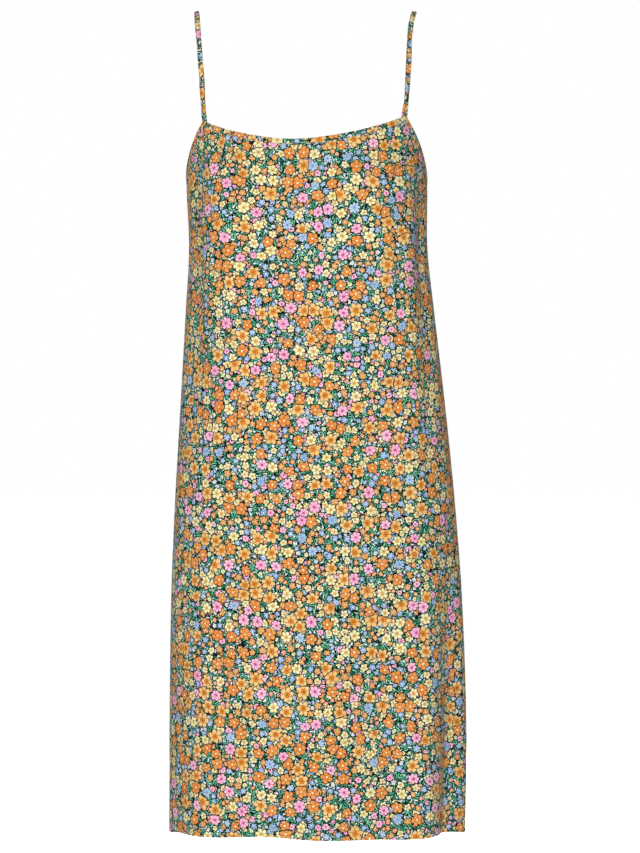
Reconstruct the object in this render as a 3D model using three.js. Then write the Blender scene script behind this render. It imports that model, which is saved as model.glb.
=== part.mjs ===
// A knee-length sundress with two thin shoulder straps, filled out as it is worn and open right through from
// neck to hem. It is made as it is sewn: a front and a back panel that meet at the side seams, narrow bias
// bindings round the neck and armholes, and two rouleau straps caught inside the four top corners.
// Millimetres. -Y is the front, +X is to the wearer's left and +Z is up. The origin is midway between the two
// places where the straps rest on the shoulders. In names, left is -X and right is +X, as the front is seen.
import * as THREE from "three";

// Driving sizes
const WALL = 1.5; // cloth, as a wall
const SEAM_GAP = 0.3; // between pieces that are sewn together
const HEM_DROP = 975; // hem, below the shoulders
const UNDERARM_DROP = 203; // top of the side seams
const BINDING_WIDTH = 5.5; // depth of a binding on the panel
const BINDING_WALL = 0.7;
const BINDING_FOLD = 0.4; // share of its wall to which a binding's folded edge is rounded in
const STRAP_WIDTH = 6;
const STRAP_THICKNESS = 2.4;
const STRAP_SIDES = 8;
const STRAP_STEPS = 34;
const SHOULDER_SLOPE = THREE.MathUtils.degToRad(14); // tilt of a strap across, where it crosses the shoulder
const CLOTH_COLOUR = 0xd9a766;
const BINDING_COLOUR = 0xd08a4a;
const STRAP_COLOUR = 0xc98f58;
const CLOTH_ROUGHNESS = 0.85;

// How finely the walls are divided
const PANEL_ROWS = 22;
const NECK_COLUMNS = 22;
const ARMHOLE_COLUMNS = 12;
const SECTION_STEPS = 160;

// Cross-sections of the dress, at their drop below the shoulders: half widths to the side seams, depths in front
// of and behind the shoulder line, and how square each half is (2 is an ellipse).
const SECTIONS = [
  { drop: 130, left: 133, right: 135, front: 98, back: 82, frontSquare: 2.9, backSquare: 2.7 },
  { drop: 175, left: 139, right: 142, front: 106, back: 87, frontSquare: 3.0, backSquare: 2.7 },
  { drop: 205, left: 141.5, right: 146, front: 110, back: 89, frontSquare: 3.0, backSquare: 2.6 },
  { drop: 285, left: 138.5, right: 146.5, front: 111, back: 86, frontSquare: 2.9, backSquare: 2.5 },
  { drop: 360, left: 142.5, right: 154.5, front: 110, back: 85, frontSquare: 2.8, backSquare: 2.5 },
  { drop: 475, left: 149, right: 168, front: 111, back: 92, frontSquare: 2.7, backSquare: 2.6 },
  { drop: 590, left: 155.5, right: 179.5, front: 114, back: 100, frontSquare: 2.7, backSquare: 2.7 },
  { drop: 705, left: 160, right: 188, front: 117, back: 104, frontSquare: 2.7, backSquare: 2.7 },
  { drop: 860, left: 162, right: 193, front: 121, back: 109, frontSquare: 2.7, backSquare: 2.7 },
  { drop: 975, left: 162.5, right: 190.5, front: 123, back: 112, frontSquare: 2.7, backSquare: 2.7 },
];

// Soft folds that run down the cloth. Each fades in over `fade` below its top, and where it has a length, out
// again over that. Its path is how far round from the middle of its panel it lies, to +X, at its top and at the
// hem, its width is half of what it covers, and its height is how far it stands out there, or in when negative.
const FRONT_FOLDS = [
  { name: "bodice ridge, +X", top: 190, fade: 90, path: [124, 140], width: 14, height: [3, 5], length: 300 },
  { name: "bodice valley, +X", top: 178, fade: 70, path: [152, 162], width: 14, height: [-5, -8], length: 300 },
  { name: "skirt ridge, +X", top: 500, fade: 200, path: [158, 142], width: 14, height: [1, 4] },
  { name: "skirt valley, +X", top: 500, fade: 260, path: [188, 188], width: 20, height: [-1, -14] },
  { name: "side lobe, +X", top: 440, fade: 260, path: [196, 222], width: 15, height: [0, 3] },
  { name: "front flat, -X", top: 620, fade: 240, path: [-142, -152], width: 18, height: [0, -2] },
  { name: "side fall, -X", top: 640, fade: 220, path: [-162, -174], width: 21, height: [-2, -4] },
  { name: "underarm tuck, -X", top: 150, fade: 50, path: [-134, -150], width: 18, height: [-5, 0] },
  { name: "bust fall, +X", top: 260, fade: 120, path: [84, 96], width: 30, height: [-1.5, -5] },
  { name: "bust fall, -X", top: 260, fade: 120, path: [-80, -92], width: 32, height: [-1.5, -5] },
  { name: "middle swell", top: 420, fade: 250, path: [8, 22], width: 36, height: [1, 4] },
  { name: "strap pull, -X", top: 146, fade: 12, path: [-104, -98], width: 7, height: [-2.2, 0], length: 110 },
  { name: "strap pull, +X", top: 146, fade: 12, path: [108, 104], width: 7, height: [-1.6, 0], length: 90 },
];
const BACK_FOLDS = [
  { name: "middle fall", top: 330, fade: 200, path: [6, 14], width: 26, height: [-2, -9] },
  { name: "seat fall, +X", top: 420, fade: 200, path: [78, 104], width: 24, height: [-1, -8] },
  { name: "seat fall, -X", top: 400, fade: 220, path: [-74, -92], width: 22, height: [-1, -7] },
  { name: "side fall, +X", top: 300, fade: 160, path: [150, 184], width: 18, height: [-2, -9] },
  { name: "side fall, -X", top: 320, fade: 160, path: [-142, -160], width: 17, height: [-2, -7] },
  { name: "waist swell", top: 500, fade: 200, path: [46, 58], width: 22, height: [1, 5] },
];

// Stretches of the hem that hang lower than the rest, or higher when negative: how far round from the middle of
// the panel each lies, half of what it covers, and by how much it hangs lower
const FRONT_HEM_WAVES = [
  { at: -208, width: 22, lower: 4.5 },
  { at: -47, width: 42, lower: -4 },
  { at: 118, width: 26, lower: 1.5 },
  { at: 226, width: 20, lower: 3 },
];
const BACK_HEM_WAVES = [
  { at: -128, width: 40, lower: 3 },
  { at: 18, width: 52, lower: -4 },
  { at: 158, width: 38, lower: 3.5 },
];

// The bust fills the front softly, and the cloth falls from it
const BUST = { side: 82, drop: 236, across: 44, above: 52, below: 190, high: 11 };

// Top edge of the front: a shallow scoop between the two strap corners, lowest a little to -X of the middle
const NECK = { low: -15, lowDrop: 165.6, curve: 1.75 };
const CORNERS = {
  left: { x: -118.9, drop: 140.3 },
  right: { x: 118.2, drop: 133.8 },
};
// Top edge of the back: nearly straight, and lower than the front
const BACK_NECK = { low: 0, lowDrop: 181, curve: 2.4 };
const BACK_CORNERS = {
  left: { x: -117, drop: 168 },
  right: { x: 117, drop: 167 },
};
const ARMHOLE_CURVE = 1.4;

// Centrelines of the straps, from above the front corner, over the shoulder, to above the back corner
const STRAPS = {
  left: [
    [-120.2, -65, -112],
    [-122.3, -58, -76],
    [-125.2, -45, -40],
    [-128, -26, -12],
    [-130.2, 0, -STRAP_THICKNESS / 2],
    [-130.4, 27, -13],
    [-128.4, 46, -42],
    [-125.8, 57, -82],
    [-123.6, 61, -122],
  ],
  right: [
    [120.2, -65, -108],
    [122.6, -58, -74],
    [123.9, -45, -39],
    [127.8, -26, -12],
    [131.2, 0, -STRAP_THICKNESS / 2],
    [127.8, 27, -13],
    [126.2, 46, -42],
    [124.8, 57, -82],
    [121.7, 61, -122],
  ],
};

const X_AXIS = new THREE.Vector3(1, 0, 0);
const SLOPE_STEP = 0.004; // share of a panel over which an edge's slope is measured

// Smooth value of one column of a table at a drop: a cubic through its rows
function valueAt(rows, column, drop) {
  const last = rows.length - 1;
  let i = 0;
  while (i < last - 1 && drop > rows[i + 1].drop) i += 1;
  const slope = (k) => {
    const a = rows[Math.max(0, k - 1)];
    const b = rows[Math.min(last, k + 1)];
    return (b[column] - a[column]) / (b.drop - a.drop);
  };
  const span = rows[i + 1].drop - rows[i].drop;
  const t = THREE.MathUtils.clamp((drop - rows[i].drop) / span, 0, 1);
  const t2 = t * t;
  const t3 = t2 * t;
  return (
    (2 * t3 - 3 * t2 + 1) * rows[i][column] +
    (t3 - 2 * t2 + t) * span * slope(i) +
    (3 * t2 - 2 * t3) * rows[i + 1][column] +
    (t3 - t2) * span * slope(i + 1)
  );
}

const bell = (t) => Math.exp(-t * t);

// How far the cloth stands off its plain section, at a distance round from the middle of the panel
function standOff(panel, round, drop) {
  let off = 0;
  for (const fold of panel.folds) {
    const below = drop - fold.top;
    if (below <= 0) continue;
    const share = below / (HEM_DROP - fold.top);
    const where = THREE.MathUtils.lerp(fold.path[0], fold.path[1], share);
    const high = THREE.MathUtils.lerp(fold.height[0], fold.height[1], share);
    const fadeIn = THREE.MathUtils.smoothstep(below, 0, fold.fade);
    const fadeOut = fold.length ? bell(below / fold.length) : 1;
    off += high * fadeIn * fadeOut * bell((round - where) / fold.width);
  }
  if (panel.bust) {
    const away = drop - BUST.drop;
    const tall = bell(away / (away < 0 ? BUST.above : BUST.below));
    off += BUST.high * tall * bell((Math.abs(round) - BUST.side) / BUST.across);
  }
  return off;
}

// One panel's section at a drop, as points at even steps of the polar angle, with their distance round from the
// middle
function sectionLine(panel, drop) {
  const size = (column) => valueAt(SECTIONS, column, drop);
  const depth = size(panel.depth);
  const power = size(panel.square);
  const points = [];
  for (let i = 0; i <= SECTION_STEPS; i++) {
    const angle = (i / SECTION_STEPS - 0.5) * Math.PI;
    const across = Math.sin(angle);
    const half = across < 0 ? size("left") : size("right");
    const radius = Math.pow(
      Math.pow(Math.abs(across) / half, power) + Math.pow(Math.abs(Math.cos(angle)) / depth, power),
      -1 / power,
    );
    points.push({ x: radius * across, y: panel.facing * radius * Math.cos(angle) });
  }
  const middle = SECTION_STEPS / 2;
  const rounds = new Array(points.length).fill(0);
  const step = (a, b) => Math.hypot(points[a].x - points[b].x, points[a].y - points[b].y);
  for (let i = middle + 1; i <= SECTION_STEPS; i++) rounds[i] = rounds[i - 1] + step(i, i - 1);
  for (let i = middle - 1; i >= 0; i--) rounds[i] = rounds[i + 1] - step(i, i + 1);
  return { points, rounds };
}

// The cloth's outer face at a share of the way round a panel, from -1 at one side seam to 1 at the other, and a
// drop
function surface(panel, share, drop) {
  const { points, rounds } = sectionLine(panel, drop);
  const round = share < 0 ? -share * rounds[0] : share * rounds[SECTION_STEPS];
  let i = 0;
  while (i < SECTION_STEPS - 1 && rounds[i + 1] < round) i += 1;
  const t = (round - rounds[i]) / (rounds[i + 1] - rounds[i]);
  const a = points[i];
  const b = points[i + 1];
  const along = new THREE.Vector2(b.x - a.x, b.y - a.y).normalize();
  const off = standOff(panel, round, drop);
  const outwards = panel.facing;
  return new THREE.Vector3(
    a.x + (b.x - a.x) * t - outwards * along.y * off,
    a.y + (b.y - a.y) * t + outwards * along.x * off,
    -drop,
  );
}

// The share of the way round at which a panel reaches x at a drop
function shareAt(panel, x, drop) {
  let low = -1;
  let high = 1;
  for (let i = 0; i < 30; i++) {
    const middle = (low + high) / 2;
    if (surface(panel, middle, drop).x < x) low = middle;
    else high = middle;
  }
  return (low + high) / 2;
}

// The drop of a panel's top edge at a share of the way round: the neck between the corners, and an armhole
// outside each
function edgeDrop(panel, share) {
  const side = share < panel.lowShare ? "left" : "right";
  const corner = panel.corners[side];
  const cornerShare = panel.cornerShares[side];
  const inNeck = side === "left" ? share >= cornerShare : share <= cornerShare;
  if (inNeck) {
    const t = (share - panel.lowShare) / (cornerShare - panel.lowShare);
    return panel.neck.lowDrop + (corner.drop - panel.neck.lowDrop) * Math.pow(t, panel.neck.curve);
  }
  const t = (Math.abs(share) - Math.abs(cornerShare)) / (1 - Math.abs(cornerShare));
  return corner.drop + (UNDERARM_DROP - corner.drop) * (1 - Math.pow(1 - Math.min(t, 1), ARMHOLE_CURVE));
}

// The drop of a panel's hem at a share of the way round
function hemDrop(panel, share) {
  const { rounds } = sectionLine(panel, HEM_DROP);
  const round = share < 0 ? -share * rounds[0] : share * rounds[SECTION_STEPS];
  return panel.hemWaves.reduce((drop, wave) => drop + wave.lower * bell((round - wave.at) / wave.width), HEM_DROP);
}

function makePanel(facing, depth, square, folds, hemWaves, bust, neck, corners) {
  const panel = { facing, depth, square, folds, hemWaves, bust, neck, corners };
  panel.lowShare = shareAt(panel, neck.low, neck.lowDrop);
  panel.cornerShares = {
    left: shareAt(panel, corners.left.x, corners.left.drop),
    right: shareAt(panel, corners.right.x, corners.right.drop),
  };
  return panel;
}

// Turns a closed solid's faces outwards, and dresses it for three.js
function closedGeometry(positions, index) {
  const at = (i) => new THREE.Vector3().fromArray(positions, 3 * i);
  let volume = 0;
  for (let i = 0; i < index.length; i += 3) {
    volume += at(index[i]).dot(at(index[i + 1]).cross(at(index[i + 2])));
  }
  if (volume < 0) index.reverse();
  const geometry = new THREE.BufferGeometry();
  geometry.setAttribute("position", new THREE.Float32BufferAttribute(positions, 3));
  geometry.setIndex(index);
  geometry.computeVertexNormals();
  return geometry;
}

// A wall between two grids of points, closed round its rim
function wallGeometry(outer, inner) {
  const rows = outer.length;
  const columns = outer[0].length;
  const positions = [...outer.flat(), ...inner.flat()].flatMap((p) => p.toArray());
  const index = [];
  const quad = (a, b, c, d) => index.push(a, b, c, a, c, d);
  const front = (i, j) => i * columns + j;
  const back = (i, j) => rows * columns + i * columns + j;
  for (let i = 0; i + 1 < rows; i++) {
    for (let j = 0; j + 1 < columns; j++) {
      quad(front(i, j), front(i, j + 1), front(i + 1, j + 1), front(i + 1, j));
      quad(back(i + 1, j), back(i + 1, j + 1), back(i, j + 1), back(i, j));
    }
    quad(front(i, 0), front(i + 1, 0), back(i + 1, 0), back(i, 0));
    quad(front(i, columns - 1), back(i, columns - 1), back(i + 1, columns - 1), front(i + 1, columns - 1));
  }
  for (let j = 0; j + 1 < columns; j++) {
    quad(front(0, j), back(0, j), back(0, j + 1), front(0, j + 1));
    quad(front(rows - 1, j), front(rows - 1, j + 1), back(rows - 1, j + 1), back(rows - 1, j));
  }
  return closedGeometry(positions, index);
}

// A solid through rings of points, closed at both ends by the flat section that they share
function loftGeometry(rings, section) {
  const sides = section.length;
  const positions = rings.flat().flatMap((p) => p.toArray());
  const index = [];
  for (let i = 0; i + 1 < rings.length; i++) {
    for (let j = 0; j < sides; j++) {
      const a = i * sides + j;
      const b = i * sides + ((j + 1) % sides);
      index.push(a, b, b + sides, a, b + sides, a + sides);
    }
  }
  const last = (rings.length - 1) * sides;
  const clockwise = THREE.ShapeUtils.isClockWise(section);
  for (const [a, b, c] of THREE.ShapeUtils.triangulateShape(section, [])) {
    if (clockwise) index.push(a, b, c, last + a, last + c, last + b);
    else index.push(a, c, b, last + a, last + b, last + c);
  }
  return closedGeometry(positions, index);
}

// The shares of the columns of a panel: closer at the sides, with one on each side of each strap
function columnShares(panel) {
  const { left, right } = panel.cornerShares;
  const length = (side) => {
    const { rounds } = sectionLine(panel, panel.corners[side].drop);
    return Math.abs(side === "left" ? rounds[0] : rounds[SECTION_STEPS]);
  };
  const tuck = (side) => (STRAP_WIDTH / 2 + SEAM_GAP) / length(side);
  const trim = (side) => SEAM_GAP / 2 / length(side);
  const between = (from, to, count) =>
    Array.from({ length: count + 1 }, (_, i) => from + ((to - from) * i) / count);
  const shares = [
    ...between(-1 + trim("left"), left - tuck("left"), ARMHOLE_COLUMNS),
    left,
    ...between(left + tuck("left"), right - tuck("right"), NECK_COLUMNS),
    right,
    ...between(right + tuck("right"), 1 - trim("right"), ARMHOLE_COLUMNS),
  ];
  return {
    shares,
    cornerColumns: { left: ARMHOLE_COLUMNS + 1, right: ARMHOLE_COLUMNS + NECK_COLUMNS + 3 },
  };
}

// A panel's wall as grids of points, from the hem up: the last two rows hold the binding between them
function panelGrid(panel) {
  const { shares, cornerColumns } = columnShares(panel);
  const slopes = [];
  const outer = Array.from({ length: PANEL_ROWS + 1 }, () => []);
  for (const share of shares) {
    const top = edgeDrop(panel, share);
    const rise = edgeDrop(panel, share + SLOPE_STEP) - edgeDrop(panel, share - SLOPE_STEP);
    const run = surface(panel, share + SLOPE_STEP, top).distanceTo(surface(panel, share - SLOPE_STEP, top));
    const atCorner = slopes.length === cornerColumns.left || slopes.length === cornerColumns.right;
    const slope = atCorner ? 1 : Math.hypot(1, rise / run);
    slopes.push(slope);
    const bound = top + BINDING_WIDTH * slope;
    const hem = hemDrop(panel, share);
    for (let i = 0; i < PANEL_ROWS; i++) {
      const drop = hem + ((bound - hem) * i) / (PANEL_ROWS - 1);
      outer[i].push(surface(panel, share, drop));
    }
    outer[PANEL_ROWS].push(surface(panel, share, top));
  }
  const normals = outer.map((row, i) =>
    row.map((_, j) => {
      const up = new THREE.Vector3().subVectors(
        outer[Math.min(i + 1, PANEL_ROWS)][j],
        outer[Math.max(i - 1, 0)][j],
      );
      const across = new THREE.Vector3().subVectors(
        row[Math.min(j + 1, row.length - 1)],
        row[Math.max(j - 1, 0)],
      );
      return across.cross(up).multiplyScalar(-panel.facing).normalize();
    }),
  );
  const inner = outer.map((row, i) => row.map((p, j) => p.clone().addScaledVector(normals[i][j], -WALL)));
  return { outer, inner, normals, slopes, cornerColumns };
}

// A binding folded over a panel's top edge between two columns, clear of the cloth all round
function bindingRings(grid, from, to) {
  const reach = SEAM_GAP + BINDING_WALL;
  const shoulder = SEAM_GAP + BINDING_WALL * BINDING_FOLD;
  const rings = [];
  const edge = PANEL_ROWS;
  for (let j = from; j <= to; j++) {
    const up = new THREE.Vector3().subVectors(grid.outer[edge][j], grid.outer[edge - 1][j]).normalize();
    const at = (side, row, off, rise) =>
      grid[side][row][j]
        .clone()
        .addScaledVector(grid.normals[row][j], side === "outer" ? off : -off)
        .addScaledVector(up, rise * grid.slopes[j]);
    rings.push([
      at("outer", edge - 1, SEAM_GAP, 0),
      at("outer", edge, SEAM_GAP, SEAM_GAP),
      at("inner", edge, SEAM_GAP, SEAM_GAP),
      at("inner", edge - 1, SEAM_GAP, 0),
      at("inner", edge - 1, reach, 0),
      at("inner", edge, reach, 0),
      at("inner", edge, shoulder, reach),
      at("outer", edge, shoulder, reach),
      at("outer", edge, reach, 0),
      at("outer", edge - 1, reach, 0),
    ]);
  }
  return rings;
}

// The flat shape of a binding's cut end, in the order of its rings' points
function bindingSection() {
  const reach = SEAM_GAP + BINDING_WALL;
  const shoulder = SEAM_GAP + BINDING_WALL * BINDING_FOLD;
  return [
    [SEAM_GAP, -BINDING_WIDTH],
    [SEAM_GAP, SEAM_GAP],
    [-WALL - SEAM_GAP, SEAM_GAP],
    [-WALL - SEAM_GAP, -BINDING_WIDTH],
    [-WALL - reach, -BINDING_WIDTH],
    [-WALL - reach, 0],
    [-WALL - shoulder, reach],
    [shoulder, reach],
    [reach, 0],
    [reach, -BINDING_WIDTH],
  ].map(([x, y]) => new THREE.Vector2(x, y));
}

// Where a strap lies against the inside of a panel's corner: its centre low and high on the panel, and the way
// across
function strapSeat(grid, side) {
  const j = grid.cornerColumns[side];
  const inwards = -(SEAM_GAP + STRAP_THICKNESS / 2);
  const centre = (row) => grid.inner[row][j].clone().addScaledVector(grid.normals[row][j], inwards);
  const across = new THREE.Vector3()
    .subVectors(grid.inner[PANEL_ROWS][j + 1], grid.inner[PANEL_ROWS][j - 1])
    .normalize();
  return { low: centre(PANEL_ROWS - 1), high: centre(PANEL_ROWS), across };
}

// A strap from the inside of the front corner, over the shoulder, to the inside of the back corner
function strapGeometry(side, frontGrid, backGrid) {
  const front = strapSeat(frontGrid, side);
  const back = strapSeat(backGrid, side);
  const free = STRAPS[side].map((p) => new THREE.Vector3(...p));
  const points = [front.low, front.high, ...free, back.high, back.low];
  const curve = new THREE.CatmullRomCurve3(points, false, "centripetal");
  const spans = points.length - 1;
  const outwards = side === "left" ? 1 : -1;
  const crest = X_AXIS.clone().applyAxisAngle(new THREE.Vector3(0, 1, 0), -outwards * SHOULDER_SLOPE);
  const section = Array.from({ length: STRAP_SIDES }, (_, i) => {
    const angle = ((i + 0.5) / STRAP_SIDES) * 2 * Math.PI;
    const round = Math.cos(Math.PI / STRAP_SIDES);
    return new THREE.Vector2(
      (Math.cos(angle) * STRAP_WIDTH) / 2 / round,
      (Math.sin(angle) * STRAP_THICKNESS) / 2 / round,
    );
  });
  const ring = (centre, along, across) => {
    const wide = across.clone().addScaledVector(along, -across.dot(along)).normalize();
    const thick = new THREE.Vector3().crossVectors(along, wide);
    return section.map((p) => centre.clone().addScaledVector(wide, p.x).addScaledVector(thick, p.y));
  };
  const straight = (seat) => new THREE.Vector3().subVectors(seat.high, seat.low).normalize();
  const rings = [ring(front.low, straight(front), front.across)];
  for (let i = 0; i <= STRAP_STEPS; i++) {
    const share = i / STRAP_STEPS;
    const t = (1 + (spans - 2) * share) / spans;
    const turn = Math.sin(Math.PI * share);
    const end = share < 0.5 ? front.across : back.across;
    const across = end.clone().lerp(crest, THREE.MathUtils.smoothstep(turn, 0, 1));
    rings.push(ring(curve.getPoint(t), curve.getTangent(t), across));
  }
  rings.push(ring(back.low, straight(back).negate(), back.across));
  return loftGeometry(rings, section);
}

function named(name, geometry, color) {
  const material = new THREE.MeshStandardMaterial({ color, roughness: CLOTH_ROUGHNESS, metalness: 0 });
  const mesh = new THREE.Mesh(geometry, material);
  mesh.name = name;
  return mesh;
}

const front = makePanel(-1, "front", "frontSquare", FRONT_FOLDS, FRONT_HEM_WAVES, true, NECK, CORNERS);
const back = makePanel(1, "back", "backSquare", BACK_FOLDS, BACK_HEM_WAVES, false, BACK_NECK, BACK_CORNERS);
const grids = { front: panelGrid(front), back: panelGrid(back) };

const dress = new THREE.Group();
for (const [side, grid] of Object.entries(grids)) {
  dress.add(named(`${side}_panel`, wallGeometry(grid.outer, grid.inner), CLOTH_COLOUR));
  const { left, right } = grid.cornerColumns;
  const last = grid.slopes.length - 1;
  const bindings = {
    neck_binding: [left + 1, right - 1],
    armhole_binding_left: [0, left - 1],
    armhole_binding_right: [right + 1, last],
  };
  for (const [name, [from, to]] of Object.entries(bindings)) {
    const strip = loftGeometry(bindingRings(grid, from, to), bindingSection());
    dress.add(named(`${side}_${name}`, strip, BINDING_COLOUR));
  }
}
for (const side of ["left", "right"]) {
  dress.add(named(`strap_${side}`, strapGeometry(side, grids.front, grids.back), STRAP_COLOUR));
}

export default dress;
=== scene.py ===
"""A slip sundress in small-flower printed viscose, filled out as it is worn.

The dress is sewn from a front and a back panel, bias bindings round its neck and armholes, and two rouleau
straps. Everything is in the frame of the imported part: -Y is the front, +Z is up, and the origin lies between
the two places where the straps rest on the shoulders. Sizes are millimetres, as a cutter writes them, and MM
turns them into metres.
"""

import logging
import math
from dataclasses import dataclass, field
from enum import Enum
from typing import Sequence

import bmesh
import bpy
import numpy as np
from mathutils import Matrix, Vector


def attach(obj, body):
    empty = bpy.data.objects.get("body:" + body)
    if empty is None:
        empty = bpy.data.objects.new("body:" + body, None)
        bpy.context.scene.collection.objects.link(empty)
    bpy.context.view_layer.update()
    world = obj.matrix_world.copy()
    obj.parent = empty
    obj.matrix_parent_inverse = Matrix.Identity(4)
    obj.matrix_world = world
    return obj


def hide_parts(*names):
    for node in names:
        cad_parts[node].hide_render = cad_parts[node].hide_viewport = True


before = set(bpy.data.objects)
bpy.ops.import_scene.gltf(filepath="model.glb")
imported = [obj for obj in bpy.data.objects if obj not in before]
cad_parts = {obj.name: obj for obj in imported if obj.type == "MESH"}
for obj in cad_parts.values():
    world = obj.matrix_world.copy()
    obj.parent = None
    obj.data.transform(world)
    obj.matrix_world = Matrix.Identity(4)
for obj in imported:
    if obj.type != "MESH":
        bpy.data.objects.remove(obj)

logging.basicConfig(level=logging.INFO, format="%(message)s")
LOG = logging.getLogger("sundress")

MM = 0.001
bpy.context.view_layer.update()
CLOTH_MAP = "ClothMetres"  # UV map in metres along the cloth: to the right and up, seen from its right side
PACKED_WALL = 1.5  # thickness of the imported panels, whose outer face the cloth follows
CLOTH_THICK = 0.45
HEM_DROP = 975.0
UNDERARM_DROP = 203.0
BINDING_WIDTH = 5.5
STRAP_WIDTH = 6.0
STRAP_THICK = 2.4
ARMHOLE_WALL = 0.64  # how far the armhole strips stand off, over the ends of the neck strips
SEAM_GAP = 0.3
WAVE_SPACING = math.pi / 10  # distance between the bands of a wave texture at scale 1


class Half(Enum):
    """Which half of the dress a panel makes; the value is the way it faces along Y."""

    FRONT = -1
    BACK = 1


@dataclass(frozen=True)
class Station:
    """A level cross-section of the dress, at its drop below the shoulders."""

    drop: float
    left: float
    right: float
    front: float
    back: float
    front_square: float
    back_square: float


@dataclass(frozen=True)
class Fold:
    """A soft fold down a panel, from its top to the hem, or fading out over its length.

    Its path is how far round from the middle of the panel it lies at its top and at the hem, its width is
    about half of what it covers, and its two heights are how far it stands out at its top and at the hem.
    """

    name: str
    top: float
    fade: float
    path: tuple[float, float]
    width: float
    high: tuple[float, float]
    length: float = 0.0

    def height(self, round_: np.ndarray, drop: np.ndarray) -> np.ndarray:
        """How far the fold lifts the cloth.

        Args:
            round_: Distances round from the middle of the panel, in millimetres.
            drop: Drops below the shoulders, in millimetres.

        Returns:
            Heights off the plain section, negative in a valley.
        """
        below = drop - self.top
        share = below / (HEM_DROP - self.top)
        where = self.path[0] + (self.path[1] - self.path[0]) * share
        high = self.high[0] + (self.high[1] - self.high[0]) * share
        high = high * smooth_step(below / self.fade)
        if self.length:
            high = high * bell(below / self.length)
        return high * bell((round_ - where) / self.width)


@dataclass(frozen=True)
class Crease:
    """A short crease pressed or pulled into the cloth, between two places on a panel."""

    start: tuple[float, float]
    end: tuple[float, float]
    width: float
    high: float
    bend: float = 0.0

    def height(self, round_: np.ndarray, drop: np.ndarray) -> np.ndarray:
        """How far the crease lifts the cloth.

        Args:
            round_: Distances round from the middle of the panel, in millimetres.
            drop: Drops below the shoulders, in millimetres.

        Returns:
            Heights off the panel's form, fading out towards both ends.
        """
        run = (self.end[0] - self.start[0], self.end[1] - self.start[1])
        length = math.hypot(*run)
        along = ((round_ - self.start[0]) * run[0] + (drop - self.start[1]) * run[1]) / length**2
        beside = ((round_ - self.start[0]) * run[1] - (drop - self.start[1]) * run[0]) / length
        arch = self.bend * (1 - (2 * along - 1) ** 2)
        ends = np.where((along > 0) & (along < 1), np.sin(np.pi * np.clip(along, 0, 1)) ** 1.3, 0.0)
        return self.high * ends * bell((beside - arch) / self.width)


@dataclass(frozen=True)
class Wave:
    """A stretch of the hem that hangs lower than the rest, or higher when negative."""

    at: float
    width: float
    lower: float


STATIONS = (
    Station(130, 133, 135, 98, 82, 2.9, 2.7),
    Station(175, 139, 142, 106, 87, 3.0, 2.7),
    Station(205, 141.5, 146, 110, 89, 3.0, 2.6),
    Station(285, 138.5, 146.5, 111, 86, 2.9, 2.5),
    Station(360, 142.5, 154.5, 110, 85, 2.8, 2.5),
    Station(475, 149, 168, 111, 92, 2.7, 2.6),
    Station(590, 155.5, 179.5, 114, 100, 2.7, 2.7),
    Station(705, 160, 188, 117, 104, 2.7, 2.7),
    Station(860, 162, 193, 121, 109, 2.7, 2.7),
    Station(975, 162.5, 190.5, 123, 112, 2.7, 2.7),
)

FRONT_FOLDS = (
    Fold("bodice ridge, +X", 190, 90, (124, 140), 14, (3, 5), 300),
    Fold("bodice valley, +X", 178, 70, (152, 162), 14, (-5, -8), 300),
    Fold("skirt ridge, +X", 500, 200, (158, 142), 14, (1, 4)),
    Fold("skirt valley, +X", 500, 260, (188, 188), 20, (-1, -14)),
    Fold("side lobe, +X", 440, 260, (196, 222), 15, (0, 3)),
    Fold("front flat, -X", 620, 240, (-142, -152), 18, (0, -2)),
    Fold("side fall, -X", 640, 220, (-162, -174), 21, (-2, -4)),
    Fold("underarm tuck, -X", 150, 50, (-134, -150), 18, (-5, 0)),
    Fold("bust fall, +X", 260, 120, (84, 96), 30, (-1.5, -5)),
    Fold("bust fall, -X", 260, 120, (-80, -92), 32, (-1.5, -5)),
    Fold("middle swell", 420, 250, (8, 22), 36, (1, 4)),
    Fold("strap pull, -X", 146, 12, (-104, -98), 7, (-2.2, 0), 110),
    Fold("strap pull, +X", 146, 12, (108, 104), 7, (-1.6, 0), 90),
)
BACK_FOLDS = (
    Fold("middle fall", 330, 200, (6, 14), 26, (-2, -9)),
    Fold("seat fall, +X", 420, 200, (78, 104), 24, (-1, -8)),
    Fold("seat fall, -X", 400, 220, (-74, -92), 22, (-1, -7)),
    Fold("side fall, +X", 300, 160, (150, 184), 18, (-2, -9)),
    Fold("side fall, -X", 320, 160, (-142, -160), 17, (-2, -7)),
    Fold("waist swell", 500, 200, (46, 58), 22, (1, 5)),
)

FRONT_HEM_WAVES = (Wave(-208, 22, 4.5), Wave(-47, 42, -4), Wave(118, 26, 1.5), Wave(226, 20, 3))
BACK_HEM_WAVES = (Wave(-128, 40, 3), Wave(18, 52, -4), Wave(158, 38, 3.5))

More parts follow.
